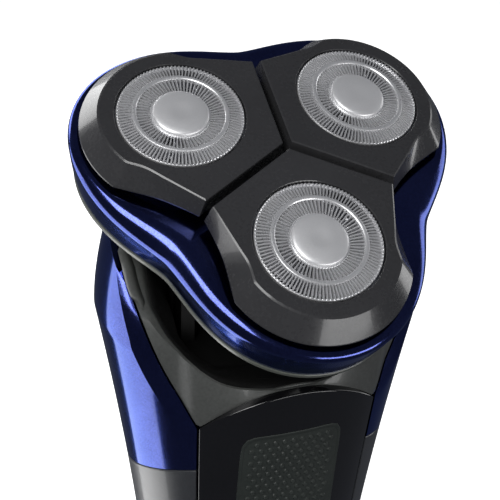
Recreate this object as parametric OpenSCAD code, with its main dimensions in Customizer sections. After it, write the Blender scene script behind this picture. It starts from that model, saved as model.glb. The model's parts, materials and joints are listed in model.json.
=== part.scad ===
// Three-head rotary shaver: a waisted handle with a pivoting, flip-open shaving head and a pop-up trimmer.
// Millimetres, +Z up. The handle stands on z = 0 and the shaving face looks forward (-Y) and up.

/* [Handle] */
// Height of the point that the shaving head swivels about
pivot_h = 129; // [125:0.5:133]
// Width at the base
base_w = 35; // [31:0.5:38]
// Width at the waist
waist_w = 37; // [34:0.5:40]
// Width across the shoulders
shoulder_w = 56.4; // [54:0.2:60]
// Width where the handle ends under the head
top_w = 46; // [43:0.5:50]
// Depth at the base, front to back
base_d = 28; // [25:0.5:31]
// Depth at the waist
waist_d = 30; // [28:0.5:33]
// Depth at the shoulders
shoulder_d = 45.2; // [44:0.2:48]
// Depth where the handle ends under the head
top_d = 37; // [35:0.5:41]
// Height of the waist
waist_z = 25; // [18:1:34]
// How far the shoulders lie below the swivel point
shoulder_drop = 13; // [10:0.5:16]
// Squareness of the handle's cross-section, where 2 is an ellipse
squareness = 2.3; // [2:0.05:2.8]
// Wall of the handle's panels
wall = 2; // [1.6:0.1:2.4]
// Height of the base cap
base_h = 8; // [7:0.5:11]
// Open seam between neighbouring panels
seam = 0.3; // [0.2:0.05:0.5]

/* [Handle trim] */
// Half-width of the front panel at its foot
panel_foot = 12.5; // [11:0.5:14]
// Half-width of the front panel at its shoulders
panel_half = 15; // [14:0.5:16]
// Height of the front panel's arched top
panel_top = 109; // [107:0.5:110]
// Rise of the arch over the panel's shoulders
panel_arch = 6.5; // [4:0.5:8]
// Half-width of the back panel at its foot
back_foot = 12; // [11:0.5:13]
// Half-width of the back panel at the shoulders
back_half = 18; // [17.5:0.5:19]
// Half-width of the textured grip
grip_half = 9.1; // [7:0.1:10]
// Height of the grip's lower end
grip_low = 76; // [75:0.5:80]
// Height of the grip's upper end
grip_high = 100.5; // [96:0.5:101]
// Height of the power button
button_z = 62; // [58:0.5:64]
// Radius of the power button
button_r = 7; // [5.5:0.1:7.4]
// Travel of the power button
button_travel = 0.6; // [0.4:0.1:0.8]

/* [Shaving head] */
// Tilt of the head towards the front
head_tilt = 30; // [28:0.5:32]
// Distance from the swivel point out to the shaving face
face_reach = 22; // [21.8:0.1:23]
// Distance from the head's centre to each guard's centre
guard_ring = 17.2; // [17:0.1:17.8]
// Radius of a guard
guard_r = 10; // [9.4:0.1:10.2]
// Outward slope of each plate
plate_slope = 3.8; // [2:0.1:4.5]
// Gap between neighbouring plates
plate_gap = 1.4; // [1.2:0.1:1.8]
// Reach of the skirt's rim at a lobe
lobe_reach = 34.1; // [33.8:0.1:36]
// Reach of the skirt's rim at a waist
waist_reach = 25.3; // [24.5:0.1:26.5]
// Fullness of the lobes, lower for broader lobes
lobe_shape = 0.82; // [0.75:0.01:0.9]
// Depth of the skirt's lower edge below the face
skirt_depth = 13.5; // [13.4:0.05:14]

/* [Drive] */
// Face width of the gears
gear_w = 1.3; // [1:0.1:1.4]
// Radius of the drive spindles
spindle_r = 1.25; // [1:0.05:1.3]
// Running clearance of shafts in their bores
running = 0.05; // [0.03:0.01:0.08]
// Blades on each cutter
blades = 15; // [9:1:18]

/* [Trimmer] */
// Half-width of the pop-up trimmer
trimmer_half = 11; // [10:0.5:11.5]
// Length of the trimmer from its pin to the teeth's root
trimmer_len = 25; // [23:0.5:26]
// Height of the trimmer's pin
trimmer_z = 75; // [74:0.5:76]
// Clearance around the trimmer in its bay
bay_gap = 0.5; // [0.4:0.1:0.7]

/* [Hidden] */

sides = ["front", "left", "right"];
lobe_angle = [-90, 150, 30];
far = 80;
eps = 0.01;
$fn = 48;

paint_blue = [0.16, 0.20, 0.55];
gloss_black = [0.05, 0.05, 0.06];
satin_black = [0.12, 0.12, 0.13];
satin_grey = [0.36, 0.37, 0.38];
steel = [0.75, 0.76, 0.78];
gold = [0.85, 0.70, 0.35];

// ---- Handle form: half-sizes that follow the height ----

shoulder_z = pivot_h - shoulder_drop;
top_z = pivot_h + 11;
flare = 1.65;
ring_points = 44;
stations = concat(
    [0.8, 2.5, 8, 16, 25, 40, 55, 70, 85],
    [for (below_pivot = [32, 23, 16, 10, 3, -4]) pivot_h - below_pivot]
);

function along(z, base, waist, shoulder, top) =
    z < waist_z ? waist + (base - waist) * pow(1 - z / waist_z, 2)
    : z < shoulder_z ? waist + (shoulder - waist) * pow((z - waist_z) / (shoulder_z - waist_z), flare)
    : shoulder + (top - shoulder) * pow((z - shoulder_z) / (top_z - shoulder_z), flare);
function half_w(z) = along(z, base_w, waist_w, shoulder_w, top_w) / 2;
function half_d(z) = along(z, base_d, waist_d, shoulder_d, top_d) / 2;
function soften(v) = sign(v) * pow(abs(v), 2 / squareness);
function oval(a, b) = [
    for (i = [0:ring_points - 1])
        let (t = i * 360 / ring_points)
        [a * soften(cos(t)), b * soften(sin(t))]
];

module slice(z, grow) {
    translate([0, 0, z])
        linear_extrude(eps)
            polygon(oval(half_w(z) + grow, half_d(z) + grow));
}

// The handle's solid form between two heights, grown or shrunk all round
module form(grow, low, high) {
    heights = concat([low], [for (s = stations) if (s > low + 1 && s < high - 1) s], [high - eps]);
    for (i = [0:len(heights) - 2])
        hull() {
            slice(heights[i], grow);
            slice(heights[i + 1], grow);
        }
}

module skin(low, high) {
    difference() {
        form(0, low, high);
        form(-wall, low - 1, high + 1);
    }
}

// ---- Prisms that divide the form into panels ----

module front_prism() {
    rotate([90, 0, 0])
        linear_extrude(far)
            children();
}

module back_prism() {
    rotate([90, 0, 0])
        translate([0, 0, -far])
            linear_extrude(far)
                children();
}

module side_prism() {
    rotate([90, 0, 90])
        linear_extrude(far)
            children();
}

// Everything below the head's sweep, and below the cut that opens the cradle to the front
horn_z = pivot_h + 3.8;
horn_slope = 43.5;
head_clear = face_reach - 1.6;

module below_head() {
    intersection() {
        head_frame()
            translate([-far, -far, -head_clear - 2 * far])
                cube(2 * far);
        translate([0, 0, horn_z])
            rotate([horn_slope, 0, 0])
                translate([-far, -far, -2 * far])
                    cube(2 * far);
    }
}

arch_r = (panel_half * panel_half + panel_arch * panel_arch) / (2 * panel_arch);
arch_end = asin(panel_half / arch_r);
arch_points = [
    for (i = [0:8])
        let (a = arch_end * (1 - i / 4))
        [arch_r * sin(a), panel_top - arch_r * (1 - cos(a))]
];

module panel_outline() {
    polygon(concat([[-panel_foot, base_h], [panel_foot, base_h]], arch_points));
}

// Inner edge of a wing, seen from the front
wing_edge = [
    [panel_half, panel_top - panel_arch], [panel_half + 5.4, shoulder_z - 5], [panel_half + 9.8, shoulder_z + 6],
    [panel_half + 11, shoulder_z + 13], [panel_half + 11, top_z + 5],
];

module outside_wing_edge() {
    polygon(concat([[panel_foot, base_h]], wing_edge, [[far, top_z + 5], [far, base_h]]));
}

module back_outline() {
    polygon([
        [-back_foot, base_h], [back_foot, base_h], [back_half, wing_low],
        [back_half, 2 * far], [-back_half, 2 * far], [-back_half, wing_low],
    ]);
}

module ledge_outline() {
    left_edge = [for (i = [len(wing_edge) - 1:-1:0]) [-wing_edge[i][0], wing_edge[i][1]]];
    difference() {
        polygon(concat(left_edge, wing_edge));
        panel_outline();
    }
}

// The wing's lower edge falls towards the back, seen from the side
wing_low = 85.2;
wing_fall = 0.46;

module above_wing_line(up) {
    low = up ? top_z + 5 : base_h;
    polygon([[-far, wing_low + wing_fall * far], [far, wing_low - wing_fall * far], [far, low], [-far, low]]);
}

module side_zone(up) {
    intersection() {
        side_prism()
            offset(delta = -seam / 2)
                above_wing_line(up);
        union() {
            front_prism()
                offset(delta = -seam / 2)
                    outside_wing_edge();
            translate([0, -eps, 0])
                back_prism()
                    offset(delta = -seam / 2)
                        difference() {
                            translate([0, base_h])
                                square(2 * far);
                            back_outline();
                        }
        }
    }
}

module side_skin(up, mirrored) {
    mirror([mirrored ? 1 : 0, 0, 0])
        difference() {
            intersection() {
                skin(base_h + seam, top_z);
                side_zone(up);
                below_head();
            }
            shroud_room();
        }
}

// Room for the neck's shroud, wherever a thicker panel would reach into it
module shroud_room() {
    translate([0, 0, pivot_h])
        sphere(r = shroud_r + 0.1);
}

// ---- Handle parts ----

module base_cap() {
    edge = 1.2;
    color(satin_black)
        difference() {
            union() {
                hull() {
                    slice(0, -edge);
                    slice(edge, 0);
                }
                hull() {
                    slice(edge, 0);
                    slice(base_h - seal_h - eps, 0);
                }
                for (x = [-screw_x, screw_x])
                    translate([x, 0, base_h - 2])
                        cylinder(r = boss_r, h = 3);
            }
            translate([-socket_w / 2, socket_y - socket_d / 2, -1])
                cube([socket_w, socket_d, base_h + 4]);
            for (x = [-screw_x, screw_x])
                translate([x, 0, -1]) {
                    cylinder(r = screw_head_r + 0.3, h = 1 + screw_head_h + 0.6);
                    cylinder(r = screw_r + 0.15, h = base_h + 4);
                }
        }
}

seal_h = 0.8;

module base_seal() {
    color(gloss_black)
        difference() {
            hull() {
                slice(base_h - seal_h + eps, -0.4);
                slice(base_h - 2 * eps, -0.4);
            }
            translate([0, 0, -1])
                hull() {
                    slice(base_h - seal_h, -wall - 0.4);
                    slice(base_h + 2, -wall - 0.4);
                }
        }
}

module front_panel() {
    color(gloss_black)
        difference() {
            intersection() {
                skin(base_h + seam, top_z);
                front_prism()
                    offset(delta = -seam / 2)
                        panel_outline();
            }
            front_prism()
                grip_outline(0.15);
            front_prism()
                translate([0, button_z])
                    circle(r = bezel_r + 0.1);
            front_prism()
                window_outline(0.1);
        }
}

module grip_outline(grow) {
    corner = 2;
    offset(r = corner + grow)
        translate([-grip_half + corner, grip_low + corner])
            square([2 * (grip_half - corner), grip_high - grip_low - 2 * corner]);
}

module grip_insert() {
    color(satin_black)
        intersection() {
            difference() {
                form(-0.25, grip_low - 2, grip_high + 2);
                form(-wall - 0.2, grip_low - 3, grip_high + 3);
            }
            front_prism()
                grip_outline(0);
        }
}

window_z = button_z - 15;
window_x = [-3, 0, 3];
window_r = 1;
window_sunk = 0.2;

module window_outline(grow) {
    for (x = window_x)
        translate([x, window_z])
            circle(r = window_r + grow, $fn = 24);
}

module indicator_window() {
    color([0.9, 0.95, 1.0])
        for (x = window_x)
            translate([x, window_sunk - half_d(window_z), window_z])
                rotate([-90, 0, 0])
                    cylinder(r = window_r, h = wall - window_sunk, $fn = 24);
}

module back_panel() {
    color(satin_black)
        difference() {
            intersection() {
                skin(base_h + seam, top_z);
                back_prism()
                    offset(delta = -seam / 2)
                        back_outline();
                below_head();
            }
            shroud_room();
            trimmer_frame()
                translate([-bay_half - bay_t - 0.1, -far / 4, -bay_below - 0.1])
                    cube([2 * (bay_half + bay_t + 0.1), far / 2, bay_below + bay_above + 0.2]);
            translate([-slide_half - 0.4, 0, slide_z - slide_h / 2 - slide_travel - 0.4])
                cube([2 * slide_half + 0.8, far, slide_h + slide_travel + 0.8]);
        }
}

module neck_cradle() {
    floor_z = yoke_z + yoke_h + 0.1;
    color(satin_black)
        difference() {
            intersection() {
                union() {
                    form(-wall - 0.1, floor_z, top_z);
                    intersection() {
                        form(0, panel_top - panel_arch - 1, top_z);
                        front_prism()
                            offset(delta = -seam / 2)
                                ledge_outline();
                    }
                }
                below_head();
            }
            translate([0, 0, pivot_h])
                sphere(r = bowl_r);
            translate([0, 0, floor_z - far])
                cylinder(r = yoke_r + 0.2, h = far);
            translate([0, 0, floor_z - 1])
                cylinder(r = ear_out + 0.8, h = 9);
            difference() {
                form(-wall - 0.1, floor_z - 12, floor_z + eps);
                translate([-far, -far, floor_z])
                    cube([2 * far, 2 * far, far]);
            }
        }
}

yoke_h = 2.4;
yoke_r = 17;
bowl_r = 19.3;
yoke_z = pivot_h - bowl_r - yoke_h - 0.3;
ear_in = 12;
ear_out = 14.4;
ear_half = 2.4;

module neck_yoke() {
    color(satin_grey)
        difference() {
            union() {
                translate([0, 0, yoke_z])
                    cylinder(r = yoke_r, h = yoke_h);
                for (s = [-1, 1])
                    translate([s * (ear_in + ear_out) / 2 - (ear_out - ear_in) / 2, -ear_half, yoke_z])
                        cube([ear_out - ear_in, 2 * ear_half, pivot_h - yoke_z]);
                for (s = [ear_in, -ear_out])
                    translate([s, 0, pivot_h])
                        rotate([0, 90, 0])
                            cylinder(r = ear_half, h = ear_out - ear_in);
            }
            translate([-far, 0, pivot_h])
                rotate([0, 90, 0])
                    cylinder(r = pin_r, h = 2 * far);
            translate([0, 0, yoke_z - 1])
                cylinder(r = 3.4, h = yoke_h + 2);
        }
}

pin_r = 1.2;

module pitch_pins() {
    color(steel)
        for (x = [ring_in + 0.4, -ear_out - 0.3])
            translate([x, 0, pivot_h])
                rotate([0, 90, 0])
                    cylinder(r = pin_r, h = ear_out + 0.3 - ring_in - 0.4);
}

board_y = -6;
board_t = 1.2;
plate_y = -4.6;

module chassis() {
    color(satin_grey)
        difference() {
            union() {
                translate([-11.5, plate_y, base_h + 4])
                    cube([23, 1.2, motor_z - base_h - 4]);
                translate([0, 0, motor_z - 1.6])
                    cylinder(r = motor_r + 0.4, h = 1.6);
                for (x = [-screw_x, screw_x])
                    translate([x, 0, base_h + 1.2])
                        cylinder(r = boss_r, h = 8);
            }
            for (x = [-screw_x, screw_x])
                translate([x, 0, base_h])
                    cylinder(r = screw_r, h = 12);
            translate([0, 0, motor_z - 3])
                cylinder(r = 4, h = 4);
            trimmer_frame()
                translate([-bay_half - bay_t, -bay_deep - bay_t, -bay_below])
                    cube([2 * (bay_half + bay_t), far, bay_below + bay_above]);
        }
}

motor_z = 83;
motor_r = 10;
motor_h = yoke_z - motor_z - 0.6;
shaft_r = 1.15;

module motor() {
    color(steel)
        difference() {
            union() {
                translate([0, 0, motor_z])
                    cylinder(r = motor_r, h = motor_h);
                translate([0, 0, motor_z + motor_h])
                    cylinder(r = 3, h = 1.6);
            }
            translate([0, 0, motor_z + motor_h - 4])
                cylinder(r = shaft_r + running, h = 8);
        }
}

battery_r = 7.1;

module battery() {
    color([0.2, 0.45, 0.35])
        union() {
            translate([0, battery_y, base_h + 9])
                cylinder(r = battery_r, h = 50);
            translate([0, battery_y, base_h + 59])
                cylinder(r = 2.6, h = 1.2);
        }
}

battery_y = plate_y + 1.2 + battery_r + 0.1;

module circuit_board() {
    color([0.05, 0.3, 0.15])
        union() {
            translate([-10, board_y - board_t, base_h + 5])
                cube([20, board_t, 66]);
            translate([-6, board_y - board_t - 1.4, base_h + 14])
                cube([7, 1.5, 7]);
            for (x = window_x)
                translate([x - 0.8, board_y - board_t - 0.8, window_z - 0.6])
                    cube([1.6, 0.9, 1.2]);
        }
}

module power_switch() {
    color(satin_grey)
        union() {
            translate([-3, board_y - board_t - 3, button_z - 3])
                cube([6, 3, 6]);
            translate([0, board_y - board_t - 3, button_z])
                rotate([90, 0, 0])
                    cylinder(r = 1.6, h = 0.7);
        }
}

// ---- Charging socket and base fasteners ----

socket_w = 12;
socket_d = 8;
socket_y = 6.4;
socket_wall = 1.3;
recess = 8.4;
contact_x = 2.2;
contact_r = 0.6;
screw_x = 11.4;
screw_r = 1.1;
screw_head_r = 2.1;
screw_head_h = 1.5;
boss_r = 2.6;

module charging_socket() {
    fit = 0.1;
    color(gloss_black)
        difference() {
            translate([-socket_w / 2 + fit, socket_y - socket_d / 2 + fit, 0.3])
                cube([socket_w - 2 * fit, socket_d - 2 * fit, recess + 1.6]);
            translate([-socket_w / 2 + socket_wall, socket_y - socket_d / 2 + socket_wall, -1])
                cube([socket_w - 2 * socket_wall, socket_d - 2 * socket_wall, recess + 1]);
            for (x = [-contact_x, contact_x])
                translate([x, socket_y, 0])
                    cylinder(r = contact_r, h = far / 2);
        }
}

module charging_pins() {
    color(gold)
        for (x = [-contact_x, contact_x])
            translate([x, socket_y, recess - 3.4])
                cylinder(r = contact_r, h = 7.4);
}

module base_screws() {
    color(steel)
        for (x = [-screw_x, screw_x])
            translate([x, 0, 0.4])
                difference() {
                    union() {
                        cylinder(r = screw_head_r, h = screw_head_h);
                        cylinder(r = screw_r, h = base_h + 6);
                    }
                    for (a = [0, 90])
                        rotate([0, 0, a])
                            translate([-1.3, -0.25, -1])
                                cube([2.6, 0.5, 1.7]);
                }
}

// ---- Power button ----

bezel_r = button_r + 1.6;
button_face = -half_d(button_z);

module button_bezel() {
    color(satin_grey)
        translate([0, button_face + 1.2, button_z])
            rotate([90, 0, 0])
                difference() {
                    cylinder(r = bezel_r, h = 1.4);
                    translate([0, 0, -1])
                        cylinder(r = button_r + 0.2, h = 4);
                }
}

module power_button() {
    stem_end = board_y - board_t - 3.8 - button_travel;
    color(gloss_black)
        translate([0, button_face, button_z])
            rotate([90, 0, 0])
                rotate_extrude()
                    polygon([
                        [0, button_face - stem_end + 0.2], [1.5, button_face - stem_end + 0.2], [1.5, -2.2],
                        [button_r + 0.8, -2.2], [button_r + 0.8, -1.4], [button_r, -1.4],
                        [button_r, 0.3], [button_r - 0.5, 0.8], [0, 0.5],
                    ]);
}

// ---- Swivel: motor shaft, gimbal and neck ----

cup_r = 3.4;

module motor_shaft() {
    ball_fit = 0.25;
    color(steel)
        difference() {
            union() {
                translate([0, 0, motor_z + motor_h - 3.8])
                    cylinder(r = shaft_r, h = pivot_h - 2.6 - (motor_z + motor_h - 3.8));
                translate([0, 0, pivot_h - 3.4])
                    cylinder(r = cup_r, h = 4.2);
            }
            translate([0, 0, pivot_h])
                sphere(r = ball_r + ball_fit);
            translate([0, 0, pivot_h])
                cylinder(r = ball_r + ball_fit, h = 2);
        }
}

ball_r = 2.1;
ring_in = 8.3;
ring_out = 11.3;
ring_h = 5;
stem_r = 7.5;
stem_bore = 5.4;

module gimbal_ring() {
    color(steel)
        pivot_frame()
            difference() {
                translate([0, 0, -ring_h / 2])
                    cylinder(r = ring_out, h = ring_h);
                translate([0, 0, -ring_h])
                    cylinder(r = ring_in, h = 2 * ring_h);
                for (a = [[0, 90, 0], [90, 0, 0]])
                    rotate(a)
                        translate([0, 0, -far])
                            cylinder(r = pin_r + running, h = 2 * far);
            }
}

module roll_pins() {
    color(steel)
        pivot_frame()
            for (s = [-1, 1])
                rotate([s * 90, 0, 0])
                    translate([0, 0, stem_bore + 0.4])
                        cylinder(r = pin_r, h = ring_out - stem_bore - 0.6);
}

base_floor = 17.5;
stem_top = face_reach - base_floor + 0.7;

module neck_stem() {
    color(satin_black)
        pivot_frame()
            difference() {
                union() {
                    translate([0, 0, -3.5])
                        cylinder(r = stem_r, h = stem_top + 3.5);
                    translate([0, 0, stem_top - 0.7])
                        cylinder(r = stem_flange - 0.05, h = 0.7);
                }
                translate([0, 0, -4.5])
                    cylinder(r = stem_bore, h = 4.5 + stem_top - 1.6);
                translate([0, 0, -1])
                    cylinder(r = drive_r + running, h = far);
                rotate([90, 0, 0])
                    translate([0, 0, -far])
                        cylinder(r = pin_r + running, h = 2 * far);
            }
}

stem_flange = 8;
shroud_r = 18.5;
shroud_wall = 1.5;

module neck_shroud() {
    low = -5;
    high = face_reach - base_floor - 0.05;
    color(gloss_black)
        pivot_frame()
            intersection() {
                difference() {
                    sphere(r = shroud_r);
                    sphere(r = shroud_r - shroud_wall);
                }
                translate([0, 0, low])
                    cylinder(r = far, h = high - low);
            }
}

// ---- Head outlines, in the head's own frame ----

module pivot_frame() {
    translate([0, 0, pivot_h])
        rotate([head_tilt, 0, 0])
            children();
}

module head_frame() {
    pivot_frame()
        translate([0, 0, face_reach])
            children();
}

module lobe_frame(k, radius) {
    head_frame()
        rotate([0, 0, lobe_angle[k]])
            translate([radius, 0, 0])
                children();
}

module plate_frame(k) {
    lobe_frame(k, guard_ring)
        rotate([0, plate_slope, 0])
            children();
}

// How far towards a lobe an angle points: 1 at a lobe and 0 at a waist
function lobeness(a) = (1 + cos(3 * (a - 30))) / 2;
function rim(a) = waist_reach + (lobe_reach - waist_reach) * pow(lobeness(a), lobe_shape);
function rim_depth(a) = 4.5 + lobeness(a);
outline_step = 5;
outline_angles = [0:outline_step:360 - outline_step];

function rim_ring(inset, depth) = [for (a = outline_angles) (rim(a) - inset) * [cos(a), sin(a), 0] - [0, 0, depth]];
function round_ring(radius, depth) = [for (a = outline_angles) radius * [cos(a), sin(a), 0] - [0, 0, depth]];

// A closed band through rings of equal length, given from the outside in
module band(rings) {
    count = len(rings);
    n = len(rings[0]);
    points = [for (r = rings) each r];
    function at(i, j) = (i % count) * n + j % n;
    polyhedron(points, [
        for (i = [0:count - 1]) for (j = [0:n - 1]) each [
            [at(i, j), at(i, j + 1), at(i + 1, j + 1)],
            [at(i, j), at(i + 1, j + 1), at(i + 1, j)],
        ]
    ]);
}

// A solid through rings of equal length, closed by a fan at the first and the last
module loft(rings) {
    count = len(rings);
    n = len(rings[0]);
    points = concat([for (r = rings) each r], [mean(rings[0]), mean(rings[count - 1])]);
    first = count * n;
    function at(i, j) = i * n + j % n;
    polyhedron(points, concat(
        [for (j = [0:n - 1]) [first, at(0, j + 1), at(0, j)]],
        [for (j = [0:n - 1]) [first + 1, at(count - 1, j), at(count - 1, j + 1)]],
        [for (i = [0:count - 2]) for (j = [0:n - 1]) each [
            [at(i, j), at(i, j + 1), at(i + 1, j + 1)],
            [at(i, j), at(i + 1, j + 1), at(i + 1, j)],
        ]]
    ));
}

function mean(ring) = [for (axis = [0:2]) [for (p = ring) p[axis]] * [for (p = ring) 1] / len(ring)];

// ---- Head base: hair chamber, gears and hinge ----

lip_depth = skirt_depth + 0.1;
lip_inset = 2.6;
under_min = 18.6;

function under_ring(inset, depth) = [
    for (a = outline_angles) max(rim(a) - inset, under_min) * [cos(a), sin(a), 0] - [0, 0, depth]
];

module head_base() {
    color(satin_grey)
        head_frame()
            difference() {
                union() {
                    band([
                        rim_ring(lip_inset, lip_depth), rim_ring(lip_inset + 0.3, lip_depth + 1.5),
                        under_ring(10, base_floor), round_ring(stem_flange, base_floor),
                        round_ring(stem_flange, base_floor - 0.7), under_ring(10.8, base_floor - 0.7),
                        rim_ring(lip_inset + 1.5, lip_depth + 1.3), rim_ring(lip_inset + 1.2, lip_depth),
                    ]);
                    for (x = [knuckle_half + ear_gap, -knuckle_half - ear_gap - ear_w])
                        translate([x, hinge_y, -hinge_depth]) {
                            translate([0, -3.6, -1])
                                cube([ear_w, 3.6, 2]);
                            rotate([0, 90, 0])
                                cylinder(r = 1.7, h = ear_w);
                        }
                }
                release_cut(0.25);
                translate([-far, hinge_y, -hinge_depth])
                    rotate([0, 90, 0])
                        cylinder(r = hinge_r, h = 2 * far);
            }
}

release_y = -27;

module release_cut(grow) {
    translate([-5 - grow, release_y - 1.5 - grow, -base_floor - 2])
        cube([10 + 2 * grow, 3 + 2 * grow, 6]);
}

module release_button() {
    color(gloss_black)
        head_frame()
            union() {
                translate([-5, release_y - 1.5, -17.6])
                    cube([10, 3, 1.9]);
                translate([-3.6, release_y - 1.1, -15.8])
                    cube([7.2, 2.2, 1]);
            }
}

hub_mouth = 5.5;
sun_teeth = 36;
planet_teeth = 16;
drive_depth = 4;
spindle_ring = guard_ring - drive_depth * sin(plate_slope);
gear_floor = 13.75;
gear_depth = 15.1;
gear_module = 2 * spindle_ring / (sun_teeth + planet_teeth);

module gear_plate() {
    color(satin_grey)
        head_frame()
            difference() {
                translate([0, 0, -gear_floor - 1])
                    linear_extrude(1)
                        union() {
                            circle(r = 18);
                            for (a = lobe_angle)
                                rotate(a)
                                    translate([spindle_ring, 0])
                                        circle(r = 12);
                        }
                for (a = lobe_angle)
                    rotate([0, 0, a])
                        translate([spindle_ring, 0, -far])
                            cylinder(r = spindle_r + running, h = far);
                release_cut(0.5);
            }
}

// Straight-flanked teeth with backlash, close to an involute at this size
module gear(teeth, phase) {
    pitch_r = gear_module * teeth / 2;
    top_r = pitch_r + 0.75 * gear_module;
    root_r = pitch_r - 1.05 * gear_module;
    half = 90 / teeth - 7.5 / pitch_r;
    wide = half + 22 / pitch_r;
    slim = half - 12 / pitch_r;
    linear_extrude(gear_w)
        polygon([
            for (i = [0:teeth - 1])
                let (a = i * 360 / teeth + phase)
                each [
                    root_r * [cos(a - wide), sin(a - wide)], top_r * [cos(a - slim), sin(a - slim)],
                    top_r * [cos(a + slim), sin(a + slim)], root_r * [cos(a + wide), sin(a + wide)],
                ]
        ]);
}

drive_r = 1.2;

module drive_shaft() {
    color(steel)
        head_frame()
            union() {
                translate([0, 0, -gear_depth - gear_w])
                    gear(sun_teeth, 0);
                translate([0, 0, -face_reach])
                    cylinder(r = drive_r, h = face_reach - gear_depth + 0.2);
                translate([0, 0, -face_reach])
                    sphere(r = ball_r);
            }
}

module planet_gear(k) {
    color(gold)
        lobe_frame(k, spindle_ring)
            difference() {
                translate([0, 0, -gear_depth - gear_w])
                    gear(planet_teeth, 180 + 180 / planet_teeth);
                translate([0, 0, -far])
                    cylinder(r = spindle_r, h = 2 * far);
            }
}

tip_r = 1;

module spindle(k) {
    color(steel)
        lobe_frame(k, spindle_ring)
            union() {
                translate([0, 0, -base_floor + 0.75])
                    cylinder(r = spindle_r, h = base_floor - 0.75 - 9);
                translate([0, 0, -9 - eps])
                    cylinder(r = tip_r, h = 9 - drive_depth + eps);
            }
}

hinge_y = waist_reach - 0.1;
hinge_depth = skirt_depth + 2.1;
hinge_r = 0.9;
knuckle_r = 1.9;
knuckle_half = 3.5;
ear_gap = 0.3;
ear_w = 2.4;

module hinge_pin() {
    color(steel)
        head_frame()
            translate([0, hinge_y, -hinge_depth])
                rotate([0, 90, 0])
                    translate([0, 0, -knuckle_half - ear_gap - ear_w])
                        cylinder(r = hinge_r, h = 2 * (knuckle_half + ear_gap + ear_w));
}

// ---- Opening cover: skirt, hinge and bracket ----

function plate_reach(a) = 18 + 14.6 * pow(lobeness(a), 0.9);
function deck_ring(depth) = [
    for (a = outline_angles)
        (plate_reach(a) - 3) * [cos(a), sin(a), 0] - [0, 0, depth + 0.7 * lobeness(a)]
];
function rim_top_ring(inset, drop) = [
    for (a = outline_angles) (rim(a) - inset) * [cos(a), sin(a), 0] - [0, 0, rim_depth(a) + drop]
];

module head_skirt() {
    color(paint_blue)
        head_frame()
            band([
                rim_top_ring(0.35, 0), rim_top_ring(0, 0.5), rim_ring(1.4, skirt_depth), rim_ring(2.5, skirt_depth),
                rim_top_ring(1.6, 1.6), deck_ring(6.1), deck_ring(5), rim_top_ring(0.9, 0.15),
            ]);
}

module cover_hinge() {
    color(satin_black)
        head_frame()
            difference() {
                union() {
                    translate([-knuckle_half, hinge_y - 1.6, -hinge_depth])
                        cube([2 * knuckle_half, 2.4, hinge_depth - skirt_depth - 0.05]);
                    translate([-knuckle_half, hinge_y, -hinge_depth])
                        rotate([0, 90, 0])
                            cylinder(r = knuckle_r, h = 2 * knuckle_half);
                }
                translate([-far, hinge_y, -hinge_depth])
                    rotate([0, 90, 0])
                        cylinder(r = hinge_r + running, h = 2 * far);
            }
}

bracket_depth = 7.4;

module retaining_bracket() {
    color(satin_grey)
        head_frame()
            translate([0, 0, -bracket_depth - 1])
                linear_extrude(1)
                    difference() {
                        union() {
                            circle(r = 9);
                            for (a = lobe_angle)
                                rotate(a) {
                                    translate([guard_ring, 0])
                                        circle(r = guard_r + 0.6);
                                    translate([-waist_reach + 2.9, -3])
                                        square([waist_reach - 2.9, 6]);
                                }
                        }
                        for (a = lobe_angle)
                            rotate(a)
                                translate([guard_ring - 0.4, 0])
                                    circle(r = 5);
                    }
}

// ---- Plates, guards and cutters ----

plate_edge = 3.5;
plate_t = 1.6;
bevel_r = guard_r + 5.3;
flat_r = guard_r + 2.6;

function gap_point(reach) = [
    reach * cos(60) + plate_gap / 2 * sin(60) - guard_ring,
    reach * sin(60) - plate_gap / 2 * cos(60),
];
function plate_half(r, side, reach) = concat(
    [for (a = [6:6:66]) r * [cos(a), sin(a)]], side, [gap_point(reach)]
);
function mirrored(points) = [for (i = [len(points) - 1:-1:0]) [points[i][0], -points[i][1]]];
function plate_ring(r, side, reach, inset, z) =
    let (half = plate_half(r, side, reach))
    let (all = concat([[r, 0]], half, [[plate_gap / 2 / sin(60) - guard_ring, 0]], mirrored(half)))
    [for (p = all) concat(p * (1 - inset / norm(p)), z)];

cap_r = 4.5;
groove_in = guard_r - 3.1;
groove_out = guard_r - 2.5;
cutter_r = guard_r - 1.4;
blade_in = 5;

flat_side = [[2.2, guard_r + 1.8], [-1, guard_r + 2.7]];
bevel_side = [[0.1, guard_r + 3.95], [-4, guard_r + 4.6]];

module plate(k) {
    color(satin_black)
        plate_frame(k)
            difference() {
                loft([
                    plate_ring(flat_r, flat_side, guard_ring + 0.1, 0, 0),
                    plate_ring(bevel_r, bevel_side, guard_ring + 0.9, 0, -plate_edge),
                    plate_ring(bevel_r, bevel_side, guard_ring + 0.9, 1.2, -plate_edge),
                    plate_ring(flat_r, flat_side, guard_ring + 0.1, 1.2, -plate_t),
                ]);
                translate([0, 0, -plate_edge])
                    cylinder(r = guard_r + 0.3, h = 2 * plate_edge);
            }
}

module guard(k) {
    color(steel)
        plate_frame(k)
            rotate_extrude()
                polygon([
                    [0, -0.35], [cap_r + 0.1, -0.35], [groove_in, -0.1], [groove_out + 0.1, -0.05],
                    [guard_r - 0.5, -0.45],
                    [guard_r - 0.5, -2.7], [guard_r + 0.9, -2.7], [guard_r + 0.9, -1.9], [guard_r, -1.9],
                    [guard_r, -0.3], [guard_r - 0.4, 0.1], [groove_out, 0.4], [groove_in + 0.1, 0.4],
                    [groove_in, 0.3], [cap_r + 0.1, 0], [0, 0],
                ]);
}

module guard_cap(k) {
    color(steel)
        plate_frame(k)
            rotate_extrude()
                polygon([[0, 0], [cap_r, 0], [cap_r, 0.35], [cap_r - 0.3, 0.6], [2.2, 0.78], [0, 0.85]]);
}

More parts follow.
